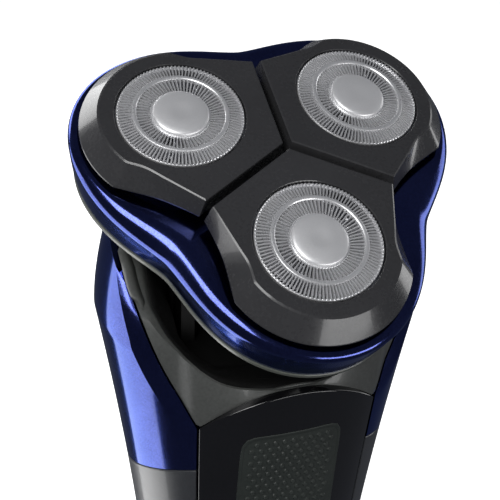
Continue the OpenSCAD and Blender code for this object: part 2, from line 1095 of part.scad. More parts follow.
module cutter(k) {
    hub_r = 3.4;
    plate_frame(k)
        color(gold)
            difference() {
                union() {
                    translate([0, 0, -2.3])
                        cylinder(r = cutter_r, h = 0.8);
                    translate([0, 0, -hub_mouth])
                        cylinder(r = hub_r, h = hub_mouth - 1.5);
                    for (i = [0:blades - 1])
                        rotate([0, 0, i * 360 / blades])
                            translate([blade_in, -0.25, -1.6])
                                cube([cutter_r - 0.1 - blade_in, 0.5, 0.9]);
                }
                translate([0, 0, -far])
                    cylinder(r = 2.3, h = far - 2.7);
            }
}

// ---- Pop-up trimmer on the back ----

trimmer_lean = atan((half_d(trimmer_z + 30) - half_d(trimmer_z)) / 30);
trimmer_y = half_d(trimmer_z) - 3.8;
bay_half = trimmer_half + bay_gap;
bay_below = 4.6;
bay_above = trimmer_len + 4.2;
arm_face = 3.5;
arm_t = 4.8;
bay_t = 1.2;
bay_front = 1.3;
bay_deep = arm_t - arm_face + 1.2;
pin_hinge_r = 1;

module trimmer_frame() {
    translate([0, trimmer_y, trimmer_z])
        rotate([-trimmer_lean, 0, 0])
            children();
}

module trimmer_arm() {
    curve_r = 41;
    color(satin_black)
        trimmer_frame()
            difference() {
                union() {
                    intersection() {
                        translate([-trimmer_half, arm_face - arm_t, 0])
                            cube([2 * trimmer_half, arm_t, trimmer_len]);
                        translate([0, arm_face - curve_r, -1])
                            cylinder(r = curve_r, h = trimmer_len + 2, $fn = 96);
                    }
                    rotate([0, 90, 0])
                        translate([0, 0, -trimmer_half + 1])
                            cylinder(r = 2.2, h = 2 * trimmer_half - 2);
                }
                rotate([0, 90, 0])
                    translate([0, 0, -far])
                        cylinder(r = pin_hinge_r + running, h = 2 * far);
            }
}

module tooth_row(count, pitch, tooth, length, root) {
    w = (count - 1) * pitch + tooth;
    translate([-w / 2, 0])
        union() {
            square([w, root]);
            for (i = [0:count - 1])
                translate([i * pitch, root - eps])
                    square([tooth, length + eps]);
        }
}

module trimmer_comb() {
    color(steel)
        trimmer_frame()
            translate([0, -0.3, trimmer_len + 0.05])
                rotate([90, 0, 0])
                    linear_extrude(0.6)
                        tooth_row(13, 1.6, 0.8, 1.7, 0.8);
}

module trimmer_blade() {
    color(gold)
        trimmer_frame()
            translate([0, 0.45, trimmer_len + 0.15])
                rotate([90, 0, 0])
                    linear_extrude(0.6)
                        tooth_row(12, 1.6, 0.8, 1.5, 0.7);
}

module trimmer_pin() {
    color(steel)
        trimmer_frame()
            rotate([0, 90, 0])
                translate([0, 0, -bay_half - 1.2])
                    cylinder(r = pin_hinge_r, h = 2 * bay_half + 2.4);
}

module trimmer_bay() {
    color(satin_grey)
        trimmer_frame()
            difference() {
                translate([-bay_half - bay_t, -bay_deep - bay_t, -bay_below])
                    cube([2 * (bay_half + bay_t), bay_deep + bay_t + bay_front, bay_below + bay_above]);
                translate([-bay_half, -bay_deep, -bay_below + bay_t])
                    cube([2 * bay_half, far, bay_below + bay_above - 2 * bay_t]);
                rotate([0, 90, 0])
                    translate([0, 0, -far])
                        cylinder(r = pin_hinge_r, h = 2 * far);
            }
}

slide_z = 58.5;
slide_h = 9;
slide_half = 5;
slide_travel = 4;

module trimmer_slide() {
    face_y = half_d(slide_z);
    tail_y = half_d(slide_z - 14) - wall - 2;
    color(satin_grey)
        union() {
            translate([-slide_half, tail_y, slide_z - slide_h / 2])
                cube([2 * slide_half, face_y + 0.6 - tail_y, slide_h]);
            translate([-slide_half - 0.6, tail_y, slide_z - slide_h / 2 - slide_travel - 1])
                cube([2 * slide_half + 1.2, 1, slide_h + 2 * slide_travel + 2]);
            for (i = [-1, 0, 1])
                translate([-slide_half + 1, face_y, slide_z + i * 2.2 - 0.4])
                    cube([2 * slide_half - 2, 1.1, 0.8]);
        }
}

base_cap();
base_seal();
front_panel();
grip_insert();
back_panel();
color(satin_grey) side_skin(false, true);  // side_panel_left
color(satin_grey) side_skin(false, false);  // side_panel_right
color(paint_blue) side_skin(true, true);  // wing_left
color(paint_blue) side_skin(true, false);  // wing_right
neck_cradle();
neck_yoke();
pitch_pins();
chassis();
motor();
battery();
circuit_board();
power_switch();
charging_socket();
charging_pins();
indicator_window();
button_bezel();
base_screws();
trimmer_bay();
trimmer_pin();
power_button();
motor_shaft();
gimbal_ring();
roll_pins();
neck_stem();
neck_shroud();
head_base();
gear_plate();
hinge_pin();
release_button();
drive_shaft();
head_skirt();
cover_hinge();
retaining_bracket();
trimmer_arm();
trimmer_comb();
trimmer_blade();
trimmer_slide();
for (k = [0:2]) {
    planet_gear(k);
    spindle(k);
    plate(k);
    guard(k);
    guard_cap(k);
    cutter(k);
}
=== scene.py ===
import json
import math

import bmesh
import bpy
from mathutils import Matrix, Vector


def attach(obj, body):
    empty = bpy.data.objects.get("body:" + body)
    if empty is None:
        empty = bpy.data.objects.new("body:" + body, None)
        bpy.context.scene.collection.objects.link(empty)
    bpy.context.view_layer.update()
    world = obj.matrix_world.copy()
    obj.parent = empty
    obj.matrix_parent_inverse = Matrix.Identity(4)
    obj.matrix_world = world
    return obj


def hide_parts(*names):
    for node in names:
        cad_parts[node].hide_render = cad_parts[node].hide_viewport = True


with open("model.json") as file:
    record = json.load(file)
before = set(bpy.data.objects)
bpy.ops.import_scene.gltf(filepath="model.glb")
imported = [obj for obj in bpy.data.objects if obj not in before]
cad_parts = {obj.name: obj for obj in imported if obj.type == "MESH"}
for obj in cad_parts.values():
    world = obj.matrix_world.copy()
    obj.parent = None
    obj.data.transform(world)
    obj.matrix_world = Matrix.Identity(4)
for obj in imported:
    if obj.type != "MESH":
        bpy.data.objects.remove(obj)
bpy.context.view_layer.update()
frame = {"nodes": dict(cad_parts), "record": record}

mm = 0.001
turn = 2 * math.pi
record = frame["record"]
slotOfNode = {row["node"]: row["material_slot"] for row in record["subparts"]}
sides = ["front", "left", "right"]

# Materials


class Val:
    # a socket that takes part in sums: each operator adds one Math node
    def __init__(self, kit, socket):
        self.kit, self.socket = kit, socket

    def math(self, operation, *values):
        return self.kit.node("ShaderNodeMath", dict(operation=operation), list(values))

    def __add__(self, other):
        return self.math("ADD", self, other)

    def __sub__(self, other):
        return self.math("SUBTRACT", self, other)

    def __rsub__(self, other):
        return self.math("SUBTRACT", other, self)

    def __mul__(self, other):
        return self.math("MULTIPLY", self, other)

    __radd__ = __add__
    __rmul__ = __mul__


class Kit:
    # one material and the nodes that make it
    def __init__(self, name):
        self.material = bpy.data.materials.new(name)
        self.material.use_nodes = True
        self.tree = self.material.node_tree
        self.shader = self.tree.nodes["Principled BSDF"]
        self.place = Val(self, self.tree.nodes.new("ShaderNodeTexCoord").outputs["Object"])

    def node(self, kind, settings=None, values=(), output=0):
        made = self.tree.nodes.new(kind)
        for key, value in (settings or {}).items():
            setattr(made, key, value)
        pairs = values.items() if isinstance(values, dict) else enumerate(values)
        for key, value in pairs:
            if isinstance(value, Val):
                self.tree.links.new(value.socket, made.inputs[key])
            else:
                made.inputs[key].default_value = value
        return Val(self, made.outputs[output])

    def noise(self, scale, detail=2.0, rough=0.5, place=None):
        return self.node("ShaderNodeTexNoise", None, {
            "Vector": place or self.place, "Scale": scale, "Detail": detail, "Roughness": rough})

    def stretched(self, scale):
        return self.node("ShaderNodeMapping", None, {"Vector": self.place, "Scale": scale})

    def between(self, value, low, high, start=0.0, end=1.0):
        return self.node("ShaderNodeMapRange", None, {
            "Value": value, "From Min": low, "From Max": high, "To Min": start, "To Max": end})

    def blend(self, factor, first, second):
        made = self.tree.nodes.new("ShaderNodeMix")
        made.data_type = "RGBA"
        for number, value in ((0, factor), (6, first), (7, second)):
            socket = made.inputs[number]
            if isinstance(value, Val):
                self.tree.links.new(value.socket, socket)
            elif hasattr(value, "__len__"):
                socket.default_value = (*value, 1.0)
            else:
                socket.default_value = value
        return Val(self, made.outputs[2])

    def feed(self, name, value):
        self.tree.links.new(value.socket, self.shader.inputs[name])

    def fix(self, **values):
        for name, value in values.items():
            socket = self.shader.inputs[name.replace("_", " ")]
            socket.default_value = (*value, 1.0) if hasattr(value, "__len__") else value

    def bump(self, height, distance, strength=1.0):
        self.feed("Normal", self.node("ShaderNodeBump", None, {
            "Height": height, "Distance": distance, "Strength": strength}))


def shade(colour, factor):
    # a colour made lighter or darker
    return tuple(min(1.0, c * factor) for c in colour)


def plastic(name, colour, rough, grain, grainDepth, coat=0.0, smudge=0.08, spread=0.25, specular=0.5):
    # moulded plastic: cloudy tone with fine specks, a grained skin and handling marks
    kit = Kit(name)
    cloud = kit.between(kit.noise(45, 3), 0.35, 0.65)
    speck = kit.between(kit.noise(1900, 1), 0.3, 0.7)
    tone = cloud * 0.6 + speck * 0.4
    kit.feed("Base Color", kit.blend(tone, shade(colour, 1 - spread), shade(colour, 1 + spread)))
    handled = kit.between(kit.noise(110, 4, 0.6), 0.4, 0.72)
    kit.feed("Roughness", handled * smudge + speck * (smudge / 2) + rough)
    kit.bump(kit.noise(grain, 3, 0.6), grainDepth)
    kit.fix(Metallic=0.0, Coat_Weight=coat, Coat_Roughness=0.06, Specular_IOR_Level=specular)
    return kit.material


def metal(name, colour, rough, brushed=(1, 1, 1), scale=2600, depth=2e-6, spread=0.08, smudge=0.1,
          metallic=1.0):
    # machined or plated metal with fine brushed lines
    kit = Kit(name)
    lines = kit.noise(scale, 2, 0.6, kit.stretched(brushed))
    cloud = kit.between(kit.noise(90, 3), 0.35, 0.65)
    tone = lines * 0.6 + cloud * 0.4
    kit.feed("Base Color", kit.blend(tone, shade(colour, 1 - spread), shade(colour, 1 + spread)))
    kit.feed("Roughness", kit.between(lines, 0.3, 0.7) * smudge + cloud * (smudge / 2) + rough)
    kit.bump(lines, depth)
    kit.fix(Metallic=metallic)
    return kit.material


def paint(name, deep, bright, rough):
    # flake paint: bright flakes in a deep base under a clear coat
    kit = Kit(name)
    flakes = kit.node("ShaderNodeTexVoronoi", dict(feature="F1"),
                      {"Vector": kit.place, "Scale": 9000}, "Color")
    sparkle = kit.node("ShaderNodeSeparateColor", None, [flakes], "Red")
    cloud = kit.between(kit.noise(70, 3), 0.35, 0.65)
    kit.feed("Base Color", kit.blend(sparkle * 0.55 + cloud * 0.3, deep, bright))
    kit.feed("Roughness", kit.between(kit.noise(150, 4), 0.35, 0.7) * 0.04 + sparkle * 0.05 + rough)
    kit.feed("Coat Weight", kit.between(kit.noise(60, 4, 0.7), 0.25, 0.45) * 0.1 + 0.25)
    kit.bump(sparkle * 0.3 + kit.noise(900, 2) * 0.7, 1.5e-6)
    kit.fix(Metallic=1.0, Specular_Tint=(0.5, 0.6, 1.0), Coat_Roughness=0.05, Coat_IOR=1.45)
    return kit.material


def glass(name, colour):
    # frosted light pipe with a faint glow
    kit = Kit(name)
    frost = kit.noise(2500, 3)
    kit.feed("Base Color", kit.blend(frost, shade(colour, 0.85), colour))
    kit.feed("Roughness", frost * 0.15 + 0.12)
    kit.feed("Emission Color", kit.blend(frost, shade(colour, 0.5), shade(colour, 0.7)))
    kit.bump(frost, 2e-6)
    kit.fix(Emission_Strength=0.08, Specular_IOR_Level=0.6)
    return kit.material


blueFinish = dict(deep=(0.019, 0.026, 0.12), bright=(0.08, 0.105, 0.36), rough=0.1)

finishes = {
    "satin_black": plastic("satinBlackPlastic", (0.020, 0.020, 0.022), 0.36, 5200, 4e-6),
    "gloss_black": plastic("glossBlackPlastic", (0.006, 0.006, 0.007), 0.08, 700, 1.5e-6, coat=0.5,
                           smudge=0.05),
    "rubber": plastic("sealRubber", (0.018, 0.018, 0.018), 0.6, 4200, 9e-6, specular=0.35),
    "grip_rubber": plastic("gripRubber", (0.022, 0.027, 0.024), 0.5, 3600, 1.2e-5, specular=0.45),
    "satin_grey": plastic("satinGreyPlastic", (0.04, 0.042, 0.046), 0.3, 5200, 4e-6, coat=0.25),
    "blue_paint": paint("bluePaint", **blueFinish),
    "inner_plastic": plastic("innerPlastic", (0.16, 0.165, 0.17), 0.45, 2400, 8e-6),
    "steel": metal("turnedSteel", (0.62, 0.62, 0.64), 0.2, (1, 1, 12)),
    "motor_can": metal("platedCan", (0.5, 0.5, 0.52), 0.3, (1, 1, 10)),
    "battery_wrap": plastic("batterySleeve", (0.03, 0.22, 0.13), 0.22, 900, 5e-6, coat=0.4),
    "board": plastic("circuitBoard", (0.01, 0.11, 0.045), 0.3, 3200, 6e-6, coat=0.3, spread=0.45),
    "gold": metal("contactGold", (0.86, 0.62, 0.24), 0.2),
    "lens": glass("indicatorLens", (0.55, 0.75, 1.0)),
    "satin_chrome": metal("satinChrome", (0.55, 0.55, 0.57), 0.16, (1, 1, 1), 3800, 1e-6),
    "lip_grey": plastic("lipGreyPlastic", (0.11, 0.118, 0.10), 0.33, 5200, 4e-6, coat=0.2),
    "gear_plastic": plastic("gearNylon", (0.72, 0.69, 0.6), 0.4, 2600, 6e-6, spread=0.08),
    "plate_satin": plastic("platePaint", (0.036, 0.036, 0.038), 0.22, 6500, 2.5e-6, coat=0.35,
                           spread=0.15),
    "guard_steel": metal("guardSteel", (0.88, 0.88, 0.89), 0.25, (1, 1, 1), 4200, 1.2e-6, metallic=0.7),
    "cap_steel": metal("capSteel", (0.84, 0.84, 0.85), 0.36, (1, 1, 1), 5200, 1.5e-6, metallic=0.6),
}
# painted shade: a near-black finish that stands in for the shade in the cradle's bowl and on the parts
# under the neck
paintedShadeFinish = plastic("cradlePaintedShade", (0.004, 0.004, 0.004), 0.5, 5200, 4e-6, specular=0.25)
# painted sheen: a lighter grey copy of the cradle's black plastic, standing in for light falling on the
# rim's ledge
rimSheenFinish = plastic("cradleRimPaintedSheen", (0.075, 0.078, 0.074), 0.34, 5200, 4e-6, coat=0.15)

# painted shade: what lies in the shadow of the neck gets the near-black finish in place of its own
# colour, so that it doesn't show through the gap
paintedShadeNodes = ["neck_yoke", "neck_stem", "gimbal_ring", "roll_pins", "pitch_pins", "chassis"]
for name, node in frame["nodes"].items():
    node.data.materials.clear()
    node.data.materials.append(paintedShadeFinish if name in paintedShadeNodes else finishes[slotOfNode[name]])
print("materials made:", len(finishes) + 2)

# Making pieces


def makePiece(name, bm, slotName, body, replaced=(), place=None, wall=0, edge=0, steps=2, crisp=35,
              outward=None, material=None, even=True):
    # millimetres in the piece's own frame become metres in the world
    if place:
        bmesh.ops.transform(bm, matrix=place, verts=bm.verts)
    bmesh.ops.scale(bm, vec=(mm, mm, mm), verts=bm.verts)
    bmesh.ops.remove_doubles(bm, verts=bm.verts, dist=mm / 2000)
    bmesh.ops.recalc_face_normals(bm, faces=bm.faces)
    if outward:  # an open skin is turned to look away from this line or point
        away = sum(f.normal.dot(outward(f.calc_center_median())) * f.calc_area() for f in bm.faces)
        if away < 0:
            bmesh.ops.reverse_faces(bm, faces=bm.faces)
    mesh = bpy.data.meshes.new(name)
    bm.to_mesh(mesh)
    bm.free()
    for face in mesh.polygons:
        face.use_smooth = True
    mesh.set_sharp_from_angle(angle=math.radians(crisp))
    piece = bpy.data.objects.new(name, mesh)
    bpy.context.scene.collection.objects.link(piece)
    mesh.materials.append(material or finishes[slotName])
    if wall:
        solid = piece.modifiers.new("wall", "SOLIDIFY")
        solid.thickness, solid.offset, solid.use_even_offset = wall * mm, -1, even
    if edge:
        rounding = piece.modifiers.new("edges", "BEVEL")
        rounding.width, rounding.segments, rounding.limit_method = edge * mm, steps, "ANGLE"
        rounding.angle_limit, rounding.harden_normals = math.radians(crisp), True
    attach(piece, body)
    if replaced:
        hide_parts(*replaced)
    return piece


def spinProfile(profile, closed=False, steps=96, bm=None):
    # turns (radius, height) points about the z axis
    bm = bm or bmesh.new()
    verts = [bm.verts.new((r, 0, z)) for r, z in profile]
    edges = [bm.edges.new(pair) for pair in zip(verts, verts[1:])]
    if closed:
        edges.append(bm.edges.new((verts[-1], verts[0])))
    bmesh.ops.spin(bm, geom=verts + edges, cent=(0, 0, 0), axis=(0, 0, 1), dvec=(0, 0, 0), angle=turn,
                   steps=steps, use_merge=True)
    bmesh.ops.remove_doubles(bm, verts=bm.verts, dist=0.0005)
    return bm


def loftRings(rings, closed=False, capped=()):
    # one circle is extruded from ring to ring, and each point keeps its number
    bm = bmesh.new()
    number = bm.verts.layers.int.new("number")
    circle = bmesh.ops.create_circle(bm, segments=len(rings[0]), radius=1)["verts"]
    for i, v in enumerate(circle):
        v[number], v.co = i, rings[0][i]
    firstEdges = lastEdges = list(bm.edges)
    for points in rings[1:]:
        made = bmesh.ops.extrude_edge_only(bm, edges=lastEdges)["geom"]
        fresh = {v for v in made if isinstance(v, bmesh.types.BMVert)}
        for v in fresh:
            v.co = points[v[number]]
        lastEdges = [e for e in made if isinstance(e, bmesh.types.BMEdge) and fresh.issuperset(e.verts)]
    if closed:
        bmesh.ops.bridge_loops(bm, edges=firstEdges + lastEdges)
    if "first" in capped:
        bmesh.ops.edgeloop_fill(bm, edges=firstEdges)
    if "last" in capped:
        bmesh.ops.edgeloop_fill(bm, edges=lastEdges)
    bm.verts.layers.int.remove(number)
    return bm


def placedGrid(across, along, place):
    # a grid whose points are laid on a surface
    bm = bmesh.new()
    bmesh.ops.create_grid(bm, x_segments=across, y_segments=along, size=1)
    for v in bm.verts:
        v.co = place((v.co.x + 1) / 2, (v.co.y + 1) / 2)
    return bm


def roundedBlock(bm, low, high, edge, steps=3):
    # a block with rounded edges, added to bm
    low, high = Vector(low), Vector(high)
    made = bmesh.ops.create_cube(bm, size=1)["verts"]
    for v in made:
        v.co = Vector((low[i] + (v.co[i] + 0.5) * (high[i] - low[i]) for i in range(3)))
    edges = list({e for v in made for e in v.link_edges})
    bmesh.ops.bevel(bm, geom=edges, offset=edge, offset_type="OFFSET", segments=steps, profile=0.5,
                    affect="EDGES", material=-1)
    return bm


def awayFromAxis(point):
    return Vector((point.x, point.y, 0))


def smoothStep(value, low, high):
    share = min(1.0, max(0.0, (value - low) / (high - low)))
    return share * share * (3 - 2 * share)


def curveThrough(points, value, key=0, give=1):
    # smooth curve through points, read at a value of one coordinate
    last = len(points) - 1
    i = min(last - 1, max(0, sum(1 for p in points[1:-1] if value >= p[key])))
    a, b = points[i], points[i + 1]
    share = min(1.0, max(0.0, (value - a[key]) / (b[key] - a[key])))

    def slope(n):
        n0, n1 = max(0, n - 1), min(last, n + 1)
        return (points[n1][give] - points[n0][give]) / (points[n1][key] - points[n0][key])

    width = b[key] - a[key]
    h = share * share * (3 - 2 * share)
    bend = share * (1 - share)
    return (a[give] * (1 - h) + b[give] * h
            + width * bend * ((1 - share) * slope(i) - share * slope(i + 1)))


# Handle form

handle = dict(baseWidth=35, waistWidth=37, shoulderWidth=56.4, topWidth=46, baseDepth=28, waistDepth=30,
              shoulderDepth=45.2, topDepth=37, waistZ=25, shoulderZ=116, topZ=140, flare=1.65,
              squareness=2.3, wall=1.8, baseHeight=8, seam=0.3)
swivel = dict(height=129, tilt=30, reach=22, bowl=19.3)
headCut = dict(clear=1.6, frontClear=3.8, frontSlope=43.5)


def alongHandle(z, part):
    # full width or depth of the handle at a height
    base, waist, shoulder, top = (handle[k + part] for k in ("base", "waist", "shoulder", "top"))
    low, high, flare = handle["waistZ"], handle["shoulderZ"], handle["flare"]
    if z < low:
        return waist + (base - waist) * (1 - z / low) ** 2
    if z < high:
        return waist + (shoulder - waist) * ((z - low) / (high - low)) ** flare
    return shoulder + (top - shoulder) * ((z - high) / (handle["topZ"] - high)) ** flare


def halfWidth(z):
    return alongHandle(z, "Width") / 2


def halfDepth(z):
    return alongHandle(z, "Depth") / 2


def soften(value):
    # turns a circle's cosine or sine into that of the squarish section
    return math.copysign(abs(value) ** (2 / handle["squareness"]), value)


def onForm(angle, z, inset=0.0):
    # a point on the handle, from its direction about the axis and its height
    return Vector(((halfWidth(z) - inset) * soften(math.cos(angle)),
                   (halfDepth(z) - inset) * soften(math.sin(angle)), z))


def depthAt(x, z, inset=0.0):
    # how far the form stands from its middle plane
    n = handle["squareness"]
    share = min(1.0, abs(x) / (halfWidth(z) - inset))
    return (halfDepth(z) - inset) * (1 - share ** n) ** (1 / n)


def angleOf(x, z, back):
    # direction about the axis in which the form is x wide
    share = min(1.0, abs(x) / halfWidth(z)) ** (handle["squareness"] / 2)
    angle = math.acos(share)
    return angle if back else -angle


frontEdge = dict(foot=12.5, shoulder=16, shoulderZ=102.2, top=109, rise=6.8)
backEdge = dict(foot=12, shoulder=18, z=85.2)
# the wing's front edge as half-widths and heights
wingEdge = [(16, 102.2), (21.2, 111), (25.2, 122), (26, 129), (26.1, 134)]
wingLine = dict(z=85.2, fall=0.46)
facet = dict(drop=1.3, startZ=101, fullZ=109)
archRadius = (frontEdge["shoulder"] ** 2 + frontEdge["rise"] ** 2) / (2 * frontEdge["rise"])


def panelEdgeX(z):
    # half-width of the front panel, and above it of the opening between the wings
    if z < frontEdge["shoulderZ"]:
        share = (z - handle["baseHeight"]) / (frontEdge["shoulderZ"] - handle["baseHeight"])
        return frontEdge["foot"] + (frontEdge["shoulder"] - frontEdge["foot"]) * share
    return curveThrough(wingEdge, z, 1, 0)


def backEdgeX(z):
    # half-width of the back panel
    share = min(1.0, (z - handle["baseHeight"]) / (backEdge["z"] - handle["baseHeight"]))
    return backEdge["foot"] + (backEdge["shoulder"] - backEdge["foot"]) * share


def archZ(x):
    # the front panel ends in an arch
    return frontEdge["top"] - archRadius + math.sqrt(archRadius ** 2 - x * x)


def headPlaneZ(y):
    # height of the cut under the head, which slopes down towards the front
    tilt = math.radians(swivel["tilt"])
    low = swivel["height"] + headCut["clear"] / math.cos(tilt) + y * math.tan(tilt)
    steep = swivel["height"] + headCut["frontClear"] + y * math.tan(math.radians(headCut["frontSlope"]))
    return min(low, steep, handle["topZ"])


def settle(angle, rule, start):
    # height on the form at which rule(y) holds
    z = start
    for _ in range(14):
        z = 0.5 * z + 0.5 * rule(onForm(angle, z).y)
    return z


def edgeDrop(z):
    # how far the inner facet of a wing falls below the form at its front edge
    return facet["drop"] * smoothStep(z, facet["startZ"], facet["fullZ"])


# Handle panels


def frontPanelPoint(u, v):
    low = handle["baseHeight"] + handle["seam"]
    reach = panelEdgeX(low + v * (frontEdge["shoulderZ"] - low)) - handle["seam"] / 2
    x = (2 * u - 1) * reach
    z = low + v * (archZ(min(abs(x), frontEdge["shoulder"] - 0.1)) - handle["seam"] / 2 - low)
    return Vector((x, -depthAt(x, z), z))


button = dict(z=62, radius=7, hole=7.9, bezel=8.6)
buttonY = -halfDepth(button["z"])
frontPanel = placedGrid(44, 130, frontPanelPoint)
behindBezel = [f for f in frontPanel.faces
               if math.hypot(f.calc_center_median().x, f.calc_center_median().z - button["z"])
               < button["hole"]]
bmesh.ops.delete(frontPanel, geom=behindBezel, context="FACES")
makePiece("frontPanelShell", frontPanel, "gloss_black", "handle", ["front_panel"], wall=handle["wall"],
          edge=0.25, crisp=40, outward=awayFromAxis)

trimmerBay = dict(half=12.75, low=70.2, high=104.4)
slideSlot = dict(half=5.4, low=49.6, high=63.4)


def spread(stops, counts, share):
    # walks evenly through stops, with so many steps between each two
    total = sum(counts)
    at = share * total
    for a, b, n in zip(stops, stops[1:], counts):
        if at <= n + 1e-6:
            return a + (b - a) * at / n
        at -= n
    return stops[-1]


def backPanelPoint(u, v):
    low = handle["baseHeight"] + handle["seam"]
    z = spread([low, slideSlot["low"], slideSlot["high"], trimmerBay["low"], trimmerBay["high"], 141],
               [30, 12, 6, 28, 34], v)
    edge = backEdgeX(z) - handle["seam"] / 2
    bay, slot = min(trimmerBay["half"], edge - 0.7), min(slideSlot["half"], edge - 2)
    x = spread([-edge, -bay, -slot, slot, bay, edge], [5, 6, 10, 6, 5], u)
    z = min(z, settle(angleOf(x, 139, True), headPlaneZ, 139))
    return Vector((x, depthAt(x, z), z))


backPanel = placedGrid(32, 110, backPanelPoint)
holes = []
for f in backPanel.faces:
    middle = f.calc_center_median()
    for hole in (trimmerBay, slideSlot):
        if abs(middle.x) < hole["half"] and hole["low"] < middle.z < hole["high"]:
            holes.append(f)
bmesh.ops.delete(backPanel, geom=holes, context="FACES")
makePiece("backPanelShell", backPanel, "satin_black", "handle", ["back_panel"], wall=handle["wall"],
          edge=0.25, crisp=40, outward=awayFromAxis)


def handlePatch(bottom, top, front, back):
    # blends four edges, each given as (angle, height), into one point on the form
    corners = bottom(0), bottom(1), top(0), top(1)

    def place(u, v):
        b, t, f, k = bottom(u), top(u), front(v), back(v)
        angle, z = (
            (1 - v) * b[i] + v * t[i] + (1 - u) * f[i] + u * k[i]
            - (1 - u) * (1 - v) * corners[0][i] - u * (1 - v) * corners[1][i]
            - (1 - u) * v * corners[2][i] - u * v * corners[3][i] for i in (0, 1))
        return angle, z
    return place


seamHalf = handle["seam"] / 2  # each panel keeps half a seam back


def frontAngle(z):
    return angleOf(panelEdgeX(z) + seamHalf, z, False)


def backAngle(z):
    return angleOf(backEdgeX(z) + seamHalf, z, True)


def crossing(angleRule, rule, start):
    # where an upright edge meets a line rule(y)
    z = start
    for _ in range(30):
        z = 0.5 * z + 0.5 * rule(onForm(angleRule(z), z).y)
    return z


def wingLineZ(y):
    return wingLine["z"] - wingLine["fall"] * y


def lineEdge(rule, frontZ, backZ, start):
    first, last = frontAngle(frontZ), backAngle(backZ)

    def edge(u):
        angle = first + (last - first) * u
        if u == 0:
            return angle, frontZ
        if u == 1:
            return angle, backZ
        return angle, settle(angle, rule, start)
    return edge


def sidePatch(lowRule, highRule, lowStart, highStart):
    ends = [crossing(rule, cut, start) for cut, start in ((lowRule, lowStart), (highRule, highStart))
            for rule in (frontAngle, backAngle)]
    lowFront, lowBack, highFront, highBack = ends

    def upright(angleRule, low, high):
        return lambda v: (angleRule(low + v * (high - low)), low + v * (high - low))

    return handlePatch(
        lineEdge(lowRule, lowFront, lowBack, lowStart),
        lineEdge(highRule, highFront, highBack, highStart),
        upright(frontAngle, lowFront, highFront), upright(backAngle, lowBack, highBack))


lowerSide = sidePatch(lambda y: handle["baseHeight"] + handle["seam"],
                      lambda y: wingLineZ(y) - seamHalf, 8.3, 85)
upperSide = sidePatch(lambda y: wingLineZ(y) + seamHalf, headPlaneZ, 86, 125)
wing = dict(creaseColumns=6, lowCrease=0.082, highCrease=0.125, columns=56, rows=64, wall=1.6)


def wingPoint(u, v):
    # the inner facet lies between the front edge and a crease, and widens upwards
    column = wing["creaseColumns"] / wing["columns"]
    crease = wing["lowCrease"] + (wing["highCrease"] - wing["lowCrease"]) * v
    if u < column:
        share = crease * u / column
    else:
        share = crease + (1 - crease) * (u - column) / (1 - column)
    angle, z = upperSide(share, v)
    return onForm(angle, z, edgeDrop(z) * max(0.0, 1 - u / column))


def sidePoint(u, v):
    return onForm(*lowerSide(u, v))


for mirrored, word in ((1, "Right"), (-1, "Left")):
    flip = Matrix.Scale(mirrored, 4, (1, 0, 0))
    makePiece("wing" + word, placedGrid(wing["columns"], wing["rows"], wingPoint), "blue_paint", "handle",
              ["wing_" + word.lower()], place=flip, wall=wing["wall"], edge=0.3, steps=3, crisp=14,
              outward=awayFromAxis)
    makePiece("sidePanel" + word, placedGrid(40, 70, sidePoint), "satin_grey", "handle",
              ["side_panel_" + word.lower()], place=flip, wall=handle["wall"], edge=0.25, crisp=40,
              outward=awayFromAxis)
print("handle panels made")

# Cradle under the head

cradle = dict(points=180, floor=109.6, wall=0.5, bowlWall=0.4, foot=0.6, tuck=1.7, clear=0.12, lip=0.5,
              frontShelf=0.9, shelf=3.5, shelfFall=0.1, step=0.3, narrowing=0.3)


def cradleEdgeZ(angle):
    # the cradle shows above the front panel's arch and between the wings
    z = settle(angle, headPlaneZ, 128)
    if math.sin(angle) > 0:
        return z
    for _ in range(20):
        x = abs(onForm(angle, z).x)
        if x >= wingEdge[-2][0]:
            break
        ruled = archZ(x) if x < frontEdge["shoulder"] else curveThrough(wingEdge, x)
        z = 0.5 * z + 0.5 * min(ruled, settle(angle, headPlaneZ, 128))
    return z


# the recess's front edge as half-widths and heights
ledgeTop = [(0, 109.2), (8, 109.4), (13, 111), (16.5, 113.8), (20.4, 118), (24, 123.5), (26.5, 131)]


def cradleTopZ(angle):
    # the recess comes down almost to the arch in the middle
    z = settle(angle, headPlaneZ, 128)
    if math.sin(angle) > 0:
        return z
    for _ in range(20):
        x = abs(onForm(angle, z).x)
        z = 0.5 * z + 0.5 * min(curveThrough(ledgeTop, x), settle(angle, headPlaneZ, 128))
    return z


def bowlEdge(angle, radius):
    # where the head's cut meets the bowl, straight in from the rim
    rim = onForm(angle, settle(angle, headPlaneZ, 128))
    way = Vector((rim.x, rim.y)).normalized()
    low, high = 0.0, 30.0
    for _ in range(40):
        middle = (low + high) / 2
        z = headPlaneZ(way.y * middle)
        if middle ** 2 + (z - swivel["height"]) ** 2 < radius ** 2:
            low = middle
        else:
            high = middle
    return Vector((way.x * low, way.y * low, headPlaneZ(way.y * low)))


